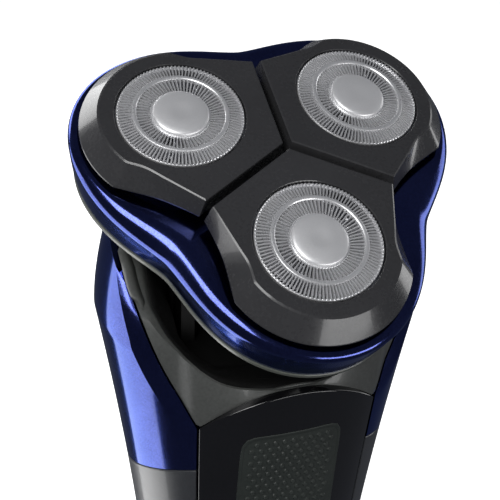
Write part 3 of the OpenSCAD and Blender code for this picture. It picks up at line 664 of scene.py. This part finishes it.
def cradleRings():
    angles = [i * turn / cradle["points"] for i in range(cradle["points"])]
    rings = [[] for _ in range(9)]
    for angle in angles:
        edgeZ = cradleEdgeZ(angle)
        frontness = smoothStep(-math.sin(angle), -0.1, 0.12)
        inset = 0.1 + edgeDrop(edgeZ) * frontness
        high = max(edgeZ + 0.1, cradleTopZ(angle))
        lip = smoothStep(high - edgeZ, 0.1, 2.0)
        bowl = bowlEdge(angle, swivel["bowl"])
        top = onForm(angle, high, inset + cradle["step"] + cradle["lip"] * lip)
        way = Vector((bowl.x, bowl.y)).normalized()
        inward = Vector((-way.x, -way.y, -cradle["shelfFall"])).normalized()
        widening = (cradle["shelf"] - cradle["frontShelf"]) * smoothStep(math.sin(angle), -0.8, -0.2)
        shelf = top + inward * (cradle["frontShelf"] + widening)
        # the rim rises behind the panels and turns in to the shelf
        rings[0].append(onForm(angle, edgeZ - cradle["foot"], inset + cradle["tuck"]))
        rings[1].append(onForm(angle, edgeZ + cradle["clear"], inset + cradle["clear"]))
        rings[2].append(onForm(angle, edgeZ + 0.1 + 0.3 * (high - edgeZ), inset + 0.25 * lip))
        rings[3].append(top)
        rings[4].append(top.lerp(shelf, 0.6) + Vector((0, 0, 0.05)))
        rings[5].append(shelf - Vector((0, 0, cradle["step"])))
        # the bowl falls to its floor and narrows
        for k, (share, fall) in enumerate(((0.25, 0.22), (0.75, 0.62), (1.0, 1.0))):
            radius = Vector((shelf.x, shelf.y)).length * (1 - cradle["narrowing"] * share)
            rings[6 + k].append(Vector((way.x * radius, way.y * radius,
                                        shelf.z + (cradle["floor"] - shelf.z) * fall)))
    return rings


cradleAll = cradleRings()
# the rim takes the painted sheen: lighter grey standing in for light on the cradle's black ledge
makePiece("cradleRim", loftRings(cradleAll[:6]), "satin_black", "handle", ["neck_cradle"], crisp=40,
          outward=lambda p: Vector((0, -0.5, 1)), wall=cradle["wall"], even=False, material=rimSheenFinish)
# the bowl is the cradle's black plastic darkened further as painted shade, standing in for the shade in
# the recess
makePiece("cradleBowl", loftRings(cradleAll[5:], capped=["last"]), "satin_black", "handle", crisp=50,
          outward=lambda p: Vector((-p.x, -p.y, 1)), wall=cradle["bowlWall"], even=False,
          material=paintedShadeFinish)
print("cradle made")

# Base cap with its screw holes, and the seal

baseCap = dict(edge=1.2, height=7.2, socketHalf=(6, 4), socketY=6.4, screwX=11.4, screwHole=2.4, deep=1.9)


def formRing(z, inset=0.0, points=120):
    # a ring round the handle
    return [onForm(i * turn / points, z, inset) for i in range(points)]


def baseCapMesh():
    rings = [formRing(baseCap["height"], 1.6), formRing(baseCap["height"] - 0.01, 0.15), formRing(5, 0),
             formRing(2.2, 0)]
    for k in range(1, 6):  # round lower edge
        a = k / 5 * math.pi / 2
        rings.append(formRing(baseCap["edge"] * (1 - math.sin(a)), baseCap["edge"] * (1 - math.cos(a))))
    bm = loftRings(rings)
    outer = [e for e in bm.edges if e.is_boundary and all(v.co.z < 0.2 for v in e.verts)]
    holes = []
    for x in (-baseCap["screwX"], baseCap["screwX"]):
        verts = bmesh.ops.create_circle(bm, segments=32, radius=baseCap["screwHole"],
                                        matrix=Matrix.Translation((x, 0, 0)))["verts"]
        holes += list({e for v in verts for e in v.link_edges})
    w, d = baseCap["socketHalf"]
    verts = bmesh.ops.create_circle(bm, segments=4, radius=1)["verts"]
    for v, corner in zip(verts, ((w, d), (-w, d), (-w, -d), (w, -d))):
        v.co = Vector((corner[0], corner[1] + baseCap["socketY"], 0))
    holes += list({e for v in verts for e in v.link_edges})
    bmesh.ops.triangle_fill(bm, edges=outer + holes, use_beauty=True, use_dissolve=False)
    made = bmesh.ops.extrude_edge_only(bm, edges=holes)["geom"]
    for v in made:
        if isinstance(v, bmesh.types.BMVert):
            v.co.z += baseCap["deep"]
    return bm


makePiece("baseCapShell", baseCapMesh(), "satin_black", "handle", ["base_cap"], crisp=30)
sealSection = [(7.15, 2.2), (7.15, 0.45), (7.35, 0.3), (7.8, 0.3), (8.0, 0.45), (8.0, 2.2)]
makePiece("baseSealRing", loftRings([formRing(z, inset) for z, inset in sealSection], closed=True),
          "rubber", "handle", ["base_seal"], crisp=40)

# Grip

grip = dict(half=9.1, low=76, high=100.5, points=72, squareness=9, proud=0.12, nubs=10, nubPitch=1.6,
            rowShare=0.87, nubMargin=1.6, nubRadius=0.66, nubTip=0.5, nubRise=0.26)


def gripMesh():
    w, h = grip["half"], (grip["high"] - grip["low"]) / 2
    middle = (grip["high"] + grip["low"]) / 2

    def outline(size):
        ring = []
        for i in range(grip["points"]):
            a = i * turn / grip["points"]
            c, s = math.cos(a), math.sin(a)
            n = grip["squareness"]
            r = 1 / (abs(c / w) ** n + abs(s / h) ** n) ** (1 / n)
            x, z = r * c, r * s
            reach = math.hypot(x, z)
            ring.append((x * (reach - size) / reach, z * (reach - size) / reach + middle))
        return ring

    def onPanel(ring, lift):
        return [Vector((x, -depthAt(x, z) - lift, z)) for x, z in ring]

    def shrunk(share):
        return [(x * share, (z - middle) * share + middle) for x, z in outline(0.9)]

    rings = [onPanel(outline(0), -0.5), onPanel(outline(0), grip["proud"] * 0.4),
             onPanel(outline(0.12), grip["proud"]), onPanel(outline(0.55), grip["proud"]),
             onPanel(outline(0.72), grip["proud"] * 0.2)]
    rings += [onPanel(shrunk(1 - k / 8), 0.02) for k in range(8)]
    return loftRings(rings, capped=["last"])


gripShell = gripMesh()
rowPitch = grip["nubPitch"] * grip["rowShare"]
rows = int((grip["high"] - grip["low"] - 2 * grip["nubMargin"]) / rowPitch) + 1
for row in range(rows):
    z = grip["low"] + grip["nubMargin"] + 0.1 + row * rowPitch
    count = grip["nubs"] - row % 2
    for i in range(count):
        x = (i - (count - 1) / 2) * grip["nubPitch"]
        made = bmesh.ops.create_cone(gripShell, cap_ends=True, segments=8, radius1=grip["nubRadius"],
                                     radius2=grip["nubRadius"] * grip["nubTip"],
                                     depth=grip["nubRise"] + 0.1)["verts"]
        aim = Vector((x / halfWidth(z) ** 2, -depthAt(x, z) / halfDepth(z) ** 2, 0)).normalized()
        turnTo = Vector((0, 0, 1)).rotation_difference(aim).to_matrix().to_4x4()
        at = Matrix.Translation((x, -depthAt(x, z) - 0.06, z))
        bmesh.ops.transform(gripShell, matrix=at @ turnTo, verts=made)
makePiece("gripPad", gripShell, "grip_rubber", "handle", ["grip_insert"], crisp=30)

# Power button and lights

alongY = Matrix.Translation((0, buttonY, button["z"])) @ Matrix.Rotation(math.radians(90), 4, "X")
bezelProfile = [(7.2, -1.2), (7.2, -0.05), (7.35, 0.12), (7.7, 0.2), (8.2, 0.18), (8.5, 0.02),
                (button["bezel"], -0.25), (button["bezel"], -1.2)]
makePiece("buttonBezel", spinProfile(bezelProfile, closed=True), "satin_chrome", "handle",
          ["button_bezel"], place=alongY, crisp=35)
# the dished face, the collar that stops the button, and the stem to the switch
buttonProfile = [(0, 0.5), (2.5, 0.53), (4.8, 0.64), (5.9, 0.76), (6.35, 0.8), (6.62, 0.74), (6.82, 0.56),
                 (6.95, 0.3), (button["radius"], 0), (button["radius"], -1.4), (7.8, -1.4), (7.8, -2.2),
                 (1.5, -2.2), (1.5, -6.4), (0, -6.4)]
makePiece("powerButton", spinProfile(buttonProfile), "gloss_black", "power_button", ["power_button"],
          place=alongY, crisp=40)
signRing = spinProfile([(2.05, 0.50), (2.05, 0.62), (2.45, 0.63), (2.45, 0.52)], closed=True, steps=64)
roundedBlock(signRing, (-0.2, 0.6, 0.5), (0.2, 3.1, 0.66), 0.08, 2)
makePiece("buttonMark", signRing, "satin_chrome", "power_button", place=alongY, crisp=35)

indicator = dict(z=47, across=(-3, 0, 3))
lamps = bmesh.new()
for x in indicator["across"]:
    before = set(lamps.verts)
    spinProfile([(0, 0.14), (0.45, 0.12), (0.8, 0.05), (0.98, -0.1), (0.98, -0.6)], steps=32, bm=lamps)
    fresh = [v for v in lamps.verts if v not in before]
    onPanel = Matrix.Translation((x, -depthAt(x, indicator["z"]), indicator["z"]))
    bmesh.ops.transform(lamps, verts=fresh, matrix=onPanel @ Matrix.Rotation(math.radians(90), 4, "X"))
makePiece("indicatorLamps", lamps, "lens", "handle", ["indicator_window"], crisp=50)
print("base, grip and button made")

# Head: shared outlines

tiltHead = (Matrix.Translation((0, 0, swivel["height"]))
            @ Matrix.Rotation(math.radians(swivel["tilt"]), 4, "X"))
headPlace = tiltHead @ Matrix.Translation((0, 0, swivel["reach"]))
lobeAngle = dict(front=-90, left=150, right=30)
head = dict(points=180, waist=25.3, lobe=34.1, fullness=0.82, guardRing=17.2, plateSlope=3.8, rim=4.5,
            skirt=13.5, lip=13.6, floor=17.5, under=18.6)
skirt = dict(lobeCrest=1.1, waistCrest=3.0, lean=1.4, wall=0.9, waistDeck=15, lobeDeck=29.6, deck=5.0,
             lobeFall=0.7, thick=1.1)


def lobeness(angle):
    # 1 in the middle of a lobe and 0 half-way between two
    return (1 + math.cos(3 * (angle - math.radians(30)))) / 2


def rimReach(angle):
    # how far the rim stands from the head's axis
    return head["waist"] + (head["lobe"] - head["waist"]) * lobeness(angle) ** head["fullness"]


def rimDepth(angle):
    # how far the rim lies under the plates
    return head["rim"] + lobeness(angle)


def ringOf(reach, depth):
    # a ring about the head's axis from two rules of the angle
    ring = []
    for i in range(head["points"]):
        angle = i * turn / head["points"]
        ring.append(Vector((reach(angle) * math.cos(angle), reach(angle) * math.sin(angle),
                            -depth(angle))))
    return ring


def rimRing(inset, depth):
    return ringOf(lambda a: rimReach(a) - inset, lambda a: depth)


def crestRadius(angle):
    # the rim's top edge is rounder between the lobes
    return skirt["lobeCrest"] + (skirt["waistCrest"] - skirt["lobeCrest"]) * (1 - lobeness(angle))


def crestRing(degrees):
    a = math.radians(degrees)
    return ringOf(lambda t: rimReach(t) - crestRadius(t) * (1 - math.sin(a)),
                  lambda t: rimDepth(t) + crestRadius(t) * (1 - math.cos(a)))


def deckReach(angle):
    # the deck's inner edge, hidden under the plates
    return skirt["waistDeck"] + (skirt["lobeDeck"] - skirt["waistDeck"]) * lobeness(angle) ** 0.9


def deckRing(depth, share=1.0):
    # between the rim's crest and the deck's inner edge
    return ringOf(lambda a: (rimReach(a) - crestRadius(a)) * (1 - share) + deckReach(a) * share,
                  lambda a: rimDepth(a) * (1 - share) + (depth + skirt["lobeFall"] * lobeness(a)) * share)


def sideRing(share, inset):
    # down the skirt's side, a little full
    return ringOf(lambda a: rimReach(a) - skirt["lean"] * share - inset,
                  lambda a: (rimDepth(a) + crestRadius(a)) * (1 - share) + head["skirt"] * share)


deckSteps = 7
skirtRings = [crestRing(degrees) for degrees in range(0, 91, 15)] + [
    sideRing(0.12, 0.02), sideRing(0.35, -0.05), sideRing(0.6, -0.05), sideRing(0.85, 0.0),
    sideRing(0.97, 0.0), rimRing(1.6, head["skirt"]), rimRing(1.6 + skirt["wall"], head["skirt"]),
    rimRing(1.6 + skirt["wall"], 7.5), deckRing(skirt["deck"] + skirt["thick"])
] + [deckRing(skirt["deck"], k / deckSteps) for k in range(deckSteps, 0, -1)]
makePiece("skirtShell", loftRings(skirtRings, closed=True), "blue_paint", "cover", ["head_skirt"],
          place=headPlace, crisp=55)

# Head base, hinge and latch

hinge = dict(y=25.2, depth=15.6, pin=0.9, fit=0.02, knuckle=3.5, gap=0.3, ear=2.4, earRadius=1.7,
             earEdge=0.2, tail=3.6)
lip = dict(inset=1.35, edge=0.15, tall=0.95)


def underRing(inset, depth):
    # a ring under the head that leaves the neck's opening free
    return ringOf(lambda a: max(rimReach(a) - inset, head["under"]), lambda a: depth)


def roundRing(radius, depth):
    return ringOf(lambda a: radius, lambda a: depth)


def headBaseMesh():
    bm = loftRings([
        rimRing(lip["inset"] + 0.15, head["lip"]), rimRing(lip["inset"], head["lip"] + lip["edge"]),
        rimRing(lip["inset"] + 0.1, head["lip"] + lip["tall"]),
        rimRing(lip["inset"] + 0.75, head["lip"] + lip["tall"] + 0.5),
        underRing(5.5, 15.9), underRing(9.4, head["floor"] - 0.15),
        underRing(10.4, head["floor"]), roundRing(8, head["floor"]), roundRing(8, head["floor"] - 0.7),
        underRing(10.8, head["floor"] - 0.7), rimRing(4.1, head["lip"] + 1.3), rimRing(3.8, head["lip"])],
        closed=True)
    for side in (-1, 1):
        near = hinge["knuckle"] + hinge["gap"]
        low, high = sorted((side * near, side * (near + hinge["ear"])))
        roundedBlock(bm, (low, hinge["y"] - hinge["tail"], -hinge["depth"] - 1),
                     (high, hinge["y"], -hinge["depth"] + 1), 0.2, 2)
        before = set(bm.verts)
        bore, outer, length, edge = (hinge["pin"] + hinge["fit"], hinge["earRadius"], hinge["ear"],
                                     hinge["earEdge"])
        spinProfile([(bore, 0), (outer - edge, 0), (outer, edge), (outer, length - edge),
                     (outer - edge, length), (bore, length)], closed=True, steps=36, bm=bm)
        fresh = [v for v in bm.verts if v not in before]
        atPin = Matrix.Translation((low, hinge["y"], -hinge["depth"]))
        bmesh.ops.transform(bm, verts=fresh, matrix=atPin @ Matrix.Rotation(math.radians(90), 4, "Y"))
    return bm


makePiece("headBaseShell", headBaseMesh(), "lip_grey", "head", ["head_base"], place=headPlace, crisp=40)
latch = dict(half=5, front=-28.5, back=-26.2, low=-17.6, high=-15.6, edge=0.35, rib=0.25,
             ribs=(-2.4, -0.8, 0.8, 2.4))
latchMesh = roundedBlock(bmesh.new(), (-latch["half"], latch["front"], latch["low"]),
                         (latch["half"], latch["back"], latch["high"]), latch["edge"])
for x in latch["ribs"]:
    roundedBlock(latchMesh, (x - latch["rib"], latch["front"], latch["low"] + 0.3),
                 (x + latch["rib"], latch["front"] + 0.3, latch["high"] - 0.4), 0.1, 1)
makePiece("releaseLatch", latchMesh, "satin_black", "release_button", ["release_button"],
          place=headPlace, crisp=35)

shroud = dict(radius=18.5, inner=17, low=-5, high=4.45)


def shroudProfile():
    # a band of a sphere about the swivel point
    points = []
    for radius, order in ((shroud["radius"], 1), (shroud["inner"], -1)):
        heights = [shroud["low"] + (shroud["high"] - shroud["low"]) * k / 12 for k in range(13)]
        points += [(math.sqrt(radius ** 2 - z * z), z) for z in heights[::order]]
    return points


makePiece("neckShroud", spinProfile(shroudProfile(), closed=True, steps=120), "gloss_black", "head",
          ["neck_shroud"], place=tiltHead, crisp=40)
print("head shell made")

# Plates, guards and caps

plate = dict(edge=3.5, thick=1.6, gap=1.4, flat=12.8, bevel=15.8, hole=10.3)


def gapPoint(reach):
    # the outer end of the gap between two plates, from the guard's centre
    c, s = math.cos(math.radians(60)), math.sin(math.radians(60))
    return (reach * c + plate["gap"] / 2 * s - head["guardRing"], reach * s - plate["gap"] / 2 * c)


def roundedPath(points, smooth):
    # a smooth run through the points, with so many steps from each to the next
    out = []
    for i in range(len(points) - 1):
        p0, p1, p2, p3 = (points[max(0, min(len(points) - 1, i + k))] for k in (-1, 0, 1, 2))
        for k in range(smooth):
            t = k / smooth
            out.append(tuple(0.5 * (
                2 * p1[d] + (p2[d] - p0[d]) * t
                + (2 * p0[d] - 5 * p1[d] + 4 * p2[d] - p3[d]) * t * t
                + (3 * p1[d] - p0[d] - 3 * p2[d] + p3[d]) * t ** 3) for d in (0, 1)))
    return out


def plateOutline(radius, sidePoints, reach):
    # round at the lobe, then inwards along the side and the gap to the head's middle
    arc = [(radius * math.cos(math.radians(a)), radius * math.sin(math.radians(a)))
           for a in range(0, 67, 3)]
    side = roundedPath([arc[-2], arc[-1]] + sidePoints + [gapPoint(reach)], 5)[5:]
    gapEnd = gapPoint(reach)
    tip = (plate["gap"] / 2 / math.sin(math.radians(60)) - head["guardRing"], 0)
    inner = [(gapEnd[0] + (tip[0] - gapEnd[0]) * k / 12, gapEnd[1] * (1 - k / 12)) for k in range(12)]
    half = arc[:-1] + side + inner
    return half + [tip] + [(x, -y) for x, y in half[:0:-1]]


flatOutline = plateOutline(plate["flat"], [(2.2, 11.8), (-1, 12.7)], 17.3)
bevelOutline = plateOutline(plate["bevel"], [(0.1, 14.35), (-4, 14.8)], 18.3)


def plateRing(outline, inset, z):
    # an outline drawn in towards the guard's centre
    return [Vector((x * (1 - inset / math.hypot(x, y)), y * (1 - inset / math.hypot(x, y)), z))
            for x, y in outline]


def holeRing(radius, z):
    # the guard's hole, with a point for each of the outline's
    return [Vector((x * radius / math.hypot(x, y), y * radius / math.hypot(x, y), z))
            for x, y in flatOutline]


def between(first, second, share):
    return [a.lerp(b, share) for a, b in zip(first, second)]


def plateMesh():
    flat, low = plateRing(flatOutline, 0, 0), plateRing(bevelOutline, 0, -plate["edge"])
    rings = [holeRing(plate["hole"], -plate["thick"]), holeRing(plate["hole"], -0.15),
             holeRing(plate["hole"] + 0.12, 0), between(holeRing(plate["hole"] + 0.12, 0), flat, 0.5),
             plateRing(flatOutline, 0.22, 0), between(flat, low, 0.04), between(flat, low, 0.5),
             between(flat, low, 0.94), plateRing(bevelOutline, 0.12, -plate["edge"]),
             plateRing(bevelOutline, 1.2, -plate["edge"]), plateRing(flatOutline, 1.2, -plate["thick"])]
    return loftRings(rings, closed=True)


guard = dict(barDrop=0.7, barTop=0.62, outerBars=104, outerFrom=7.5, outerTo=9.9, outerBar=0.31,
             innerBars=68, innerFrom=4.6, innerTo=7.0, innerBar=0.31, slant=0.10)


# the flange with its outer rim, the raised ring between the two tracks, and the seat of the cap
guardRims = [
    ([(9.5, -2.7), (10.9, -2.7), (10.9, -1.9), (10.0, -1.9), (10.0, -0.3), (9.94, -0.2), (9.75, -0.14),
      (9.5, -0.45)], 120),
    ([(6.88, -0.25), (6.88, 0.24), (6.98, 0.38), (7.1, 0.44), (7.42, 0.44), (7.56, 0.38), (7.62, 0.26),
      (7.62, -0.25)], 120),
    ([(4.3, -0.5), (4.3, -0.02), (4.66, -0.02), (4.74, -0.12), (4.74, -0.5)], 72),
]


def barRing(bm, count, near, far, nearZ, farZ, width, slant):
    # one bar between two slots, spun round the guard
    made = bmesh.ops.create_cube(bm, size=1)["verts"]
    length = far - near
    for v in made:
        share = v.co.x + 0.5
        top = v.co.z > 0
        side = v.co.y * 2
        taper = guard["barTop"] if top else 1.0
        reach = near + length * share
        breadth = width / 2 * (0.8 + 0.4 * share) * taper
        v.co = Vector((reach, side * breadth + slant * (share - 0.5) * length,
                       nearZ + (farZ - nearZ) * share - (0 if top else guard["barDrop"])))
    faces = list({f for v in made for f in v.link_faces})
    edges = list({e for v in made for e in v.link_edges})
    bmesh.ops.spin(bm, geom=made + edges + faces, cent=(0, 0, 0), axis=(0, 0, 1), dvec=(0, 0, 0),
                   angle=turn * (count - 1) / count, steps=count - 1, use_duplicate=True)


def guardMesh():
    bm = bmesh.new()
    for profile, steps in guardRims:
        spinProfile(profile, closed=True, steps=steps, bm=bm)
    barRing(bm, guard["outerBars"], guard["outerFrom"], guard["outerTo"], 0.36, 0.08, guard["outerBar"],
            0.0)
    barRing(bm, guard["innerBars"], guard["innerFrom"], guard["innerTo"], 0.0, 0.28, guard["innerBar"],
            guard["slant"])
    return bm


capProfile = [(0, 0.78), (0.7, 0.79), (1.5, 0.84), (2.0, 0.85), (2.6, 0.80), (3.4, 0.72), (3.95, 0.61),
              (4.25, 0.5), (4.42, 0.34), (4.5, 0.1), (4.5, -0.02), (0, -0.02)]
for side in sides:
    platePlace = (headPlace @ Matrix.Rotation(math.radians(lobeAngle[side]), 4, "Z")
                  @ Matrix.Translation((head["guardRing"], 0, 0))
                  @ Matrix.Rotation(math.radians(head["plateSlope"]), 4, "Y"))
    word = side.capitalize()
    makePiece("plate" + word, plateMesh(), "plate_satin", "plate_" + side, ["plate_" + side],
              place=platePlace, crisp=22)
    makePiece("guard" + word, guardMesh(), "guard_steel", "guard_" + side, ["guard_" + side],
              place=platePlace, crisp=30)
    makePiece("guardCap" + word, spinProfile(capProfile, steps=96), "cap_steel", "guard_" + side,
              ["guard_cap_" + side], place=platePlace, crisp=50)
print("plates and guards made")

# Trimmer

trimmer = dict(half=11, z=75, deep=3.8, bay=30, length=25, face=3.5, thick=4.8, curve=41, sunk=0.25,
               ridges=(18.2, 19.9, 21.6), ridgeRise=0.22, ridgeHalf=0.55, ridgeReach=7)
trimmerRise = halfDepth(trimmer["z"] + trimmer["bay"]) - halfDepth(trimmer["z"])
trimmerLean = math.atan(trimmerRise / trimmer["bay"])
trimmerPlace = (Matrix.Translation((0, halfDepth(trimmer["z"]) - trimmer["deep"], trimmer["z"]))
                @ Matrix.Rotation(-trimmerLean, 4, "X"))


def trimmerMesh():
    # a curved lid with thumb ridges, over its hinge barrel
    face, curve = trimmer["face"], trimmer["curve"]

    def lid(u, v):
        x = (2 * u - 1) * trimmer["half"]
        z = 0.05 + v * (trimmer["length"] - 0.05)
        ridge = 0.0
        if abs(x) < trimmer["ridgeReach"]:
            ridge = sum(trimmer["ridgeRise"] * max(0.0, 1 - abs(z - at) / trimmer["ridgeHalf"])
                        for at in trimmer["ridges"])
        return Vector((x, face - curve + math.sqrt(curve * curve - x * x) - trimmer["sunk"] + ridge, z))
    bm = placedGrid(44, 100, lid)
    made = bmesh.ops.extrude_edge_only(bm, edges=[e for e in bm.edges if e.is_boundary])["geom"]
    low = [v for v in made if isinstance(v, bmesh.types.BMVert)]
    for v in low:
        v.co.y = face - trimmer["thick"]
    bmesh.ops.edgeloop_fill(bm, edges=[e for e in made if isinstance(e, bmesh.types.BMEdge)
                                       and all(v in low for v in e.verts)])
    before = set(bm.verts)
    barrel = [(1.04, -10), (2.0, -10), (2.2, -9.8), (2.2, 9.8), (2.0, 10), (1.04, 10)]
    spinProfile(barrel, closed=True, steps=40, bm=bm)
    fresh = [v for v in bm.verts if v not in before]
    bmesh.ops.transform(bm, verts=fresh, matrix=Matrix.Rotation(math.radians(90), 4, "Y"))
    return bm


makePiece("trimmerLid", trimmerMesh(), "satin_black", "trimmer", ["trimmer_arm"], place=trimmerPlace,
          edge=0.3, steps=3, crisp=50)

slide = dict(z=58.5, height=9, half=5, proud=0.6, plateHalf=5.6, plateReach=9.5, ribHalf=4, ribProud=1.1,
             ribPitch=2.2, ribThick=0.8)
slideFace = halfDepth(slide["z"])
tailY = halfDepth(slide["z"] - 14) - 4
slider = roundedBlock(bmesh.new(), (-slide["half"], tailY, slide["z"] - slide["height"] / 2),
                      (slide["half"], slideFace + slide["proud"], slide["z"] + slide["height"] / 2), 0.6)
roundedBlock(slider, (-slide["plateHalf"], tailY, slide["z"] - slide["plateReach"]),
             (slide["plateHalf"], tailY + 1, slide["z"] + slide["plateReach"]), 0.2, 2)
for i in (-1, 0, 1):
    ribZ = slide["z"] + i * slide["ribPitch"]
    roundedBlock(slider, (-slide["ribHalf"], slideFace, ribZ - slide["ribThick"] / 2),
                 (slide["ribHalf"], slideFace + slide["ribProud"], ribZ + slide["ribThick"] / 2), 0.25, 3)
makePiece("trimmerSlider", slider, "satin_grey", "trimmer_slide", ["trimmer_slide"], crisp=35)
print("trimmer made")

# Camera, floor and light

view = dict(place=(-63.779, -168.444, 221.364), right=(0.94278, -0.33212, 0.02943),
            down=(-0.13326, -0.45625, -0.87982), forward=(0.30564, 0.82555, -0.47440), lens=85.56)
cameraData = bpy.data.cameras.new("camera")
cameraData.lens, cameraData.sensor_width = view["lens"], 36
cameraData.clip_start, cameraData.clip_end = 0.01, 20
camera = bpy.data.objects.new("camera", cameraData)
bpy.context.scene.collection.objects.link(camera)
axes = [Vector(view["right"]), -Vector(view["down"]), -Vector(view["forward"])]
camera.matrix_world = Matrix.Translation(Vector(view["place"]) * mm) @ Matrix(axes).transposed().to_4x4()
bpy.context.scene.camera = camera
bpy.context.scene.view_settings.view_transform = "Standard"

floorMesh = bmesh.new()
bmesh.ops.create_grid(floorMesh, x_segments=1, y_segments=1, size=3)
floorData = bpy.data.meshes.new("floor")
floorMesh.to_mesh(floorData)
floorMesh.free()
floor = bpy.data.objects.new("floor", floorData)
bpy.context.scene.collection.objects.link(floor)
floorKit = Kit("floorPaper")
floorKit.feed("Base Color", floorKit.blend(floorKit.noise(8, 2), (0.86, 0.86, 0.86), (0.9, 0.9, 0.9)))
floorKit.feed("Emission Color",
              floorKit.blend(floorKit.noise(8, 2), (0.97, 0.97, 0.97), (1.0, 1.0, 1.0)))
floorKit.fix(Roughness=0.9, Specular_IOR_Level=0.1, Emission_Strength=0.8)
floorData.materials.append(floorKit.material)
floor.visible_glossy = floor.visible_diffuse = False

# the camera sees a white studio, and the pieces reflect a dim room
world = bpy.data.worlds.new("studio")
bpy.context.scene.world = world
world.use_nodes = True
nodes, links = world.node_tree.nodes, world.node_tree.links
seen, room = nodes["Background"], nodes.new("ShaderNodeBackground")
seen.inputs["Color"].default_value, seen.inputs["Strength"].default_value = (1, 1, 1, 1), 1.0
room.inputs["Color"].default_value = (0.8, 0.85, 1.0, 1)
room.inputs["Strength"].default_value = 0.08
path, mix = nodes.new("ShaderNodeLightPath"), nodes.new("ShaderNodeMixShader")
links.new(path.outputs["Is Camera Ray"], mix.inputs[0])
links.new(room.outputs[0], mix.inputs[1])
links.new(seen.outputs[0], mix.inputs[2])
links.new(mix.outputs[0], nodes["World Output"].inputs["Surface"])

target = Vector((0, -5, 130)) * mm
softboxes = dict(
    key=dict(at=(-330, -300, 530), size=(0.35, 0.35), glow=7.0),
    leftCard=dict(at=(-185, 95, 12), size=(0.16, 0.34), glow=2.8),
    backSky=dict(at=(-150, 450, 300), size=(0.5, 0.25), glow=4.0),
    frontLow=dict(at=(200, -450, 40), size=(0.42, 0.16), glow=5.0),
    rightStrip=dict(at=(430, 60, 170), size=(0.12, 0.4), glow=2.2),
)
for name, box in softboxes.items():
    light = bpy.data.lights.new(name, "AREA")
    width, height = light.size, light.size_y = box["size"]
    light.shape, light.energy = "RECTANGLE", box["glow"] * math.pi * width * height
    lamp = bpy.data.objects.new(name, light)
    bpy.context.scene.collection.objects.link(lamp)
    lamp.location = Vector(box["at"]) * mm
    lamp.rotation_euler = (target - lamp.location).to_track_quat("-Z", "Y").to_euler()
    lamp.visible_camera = False
print("camera and lights made")
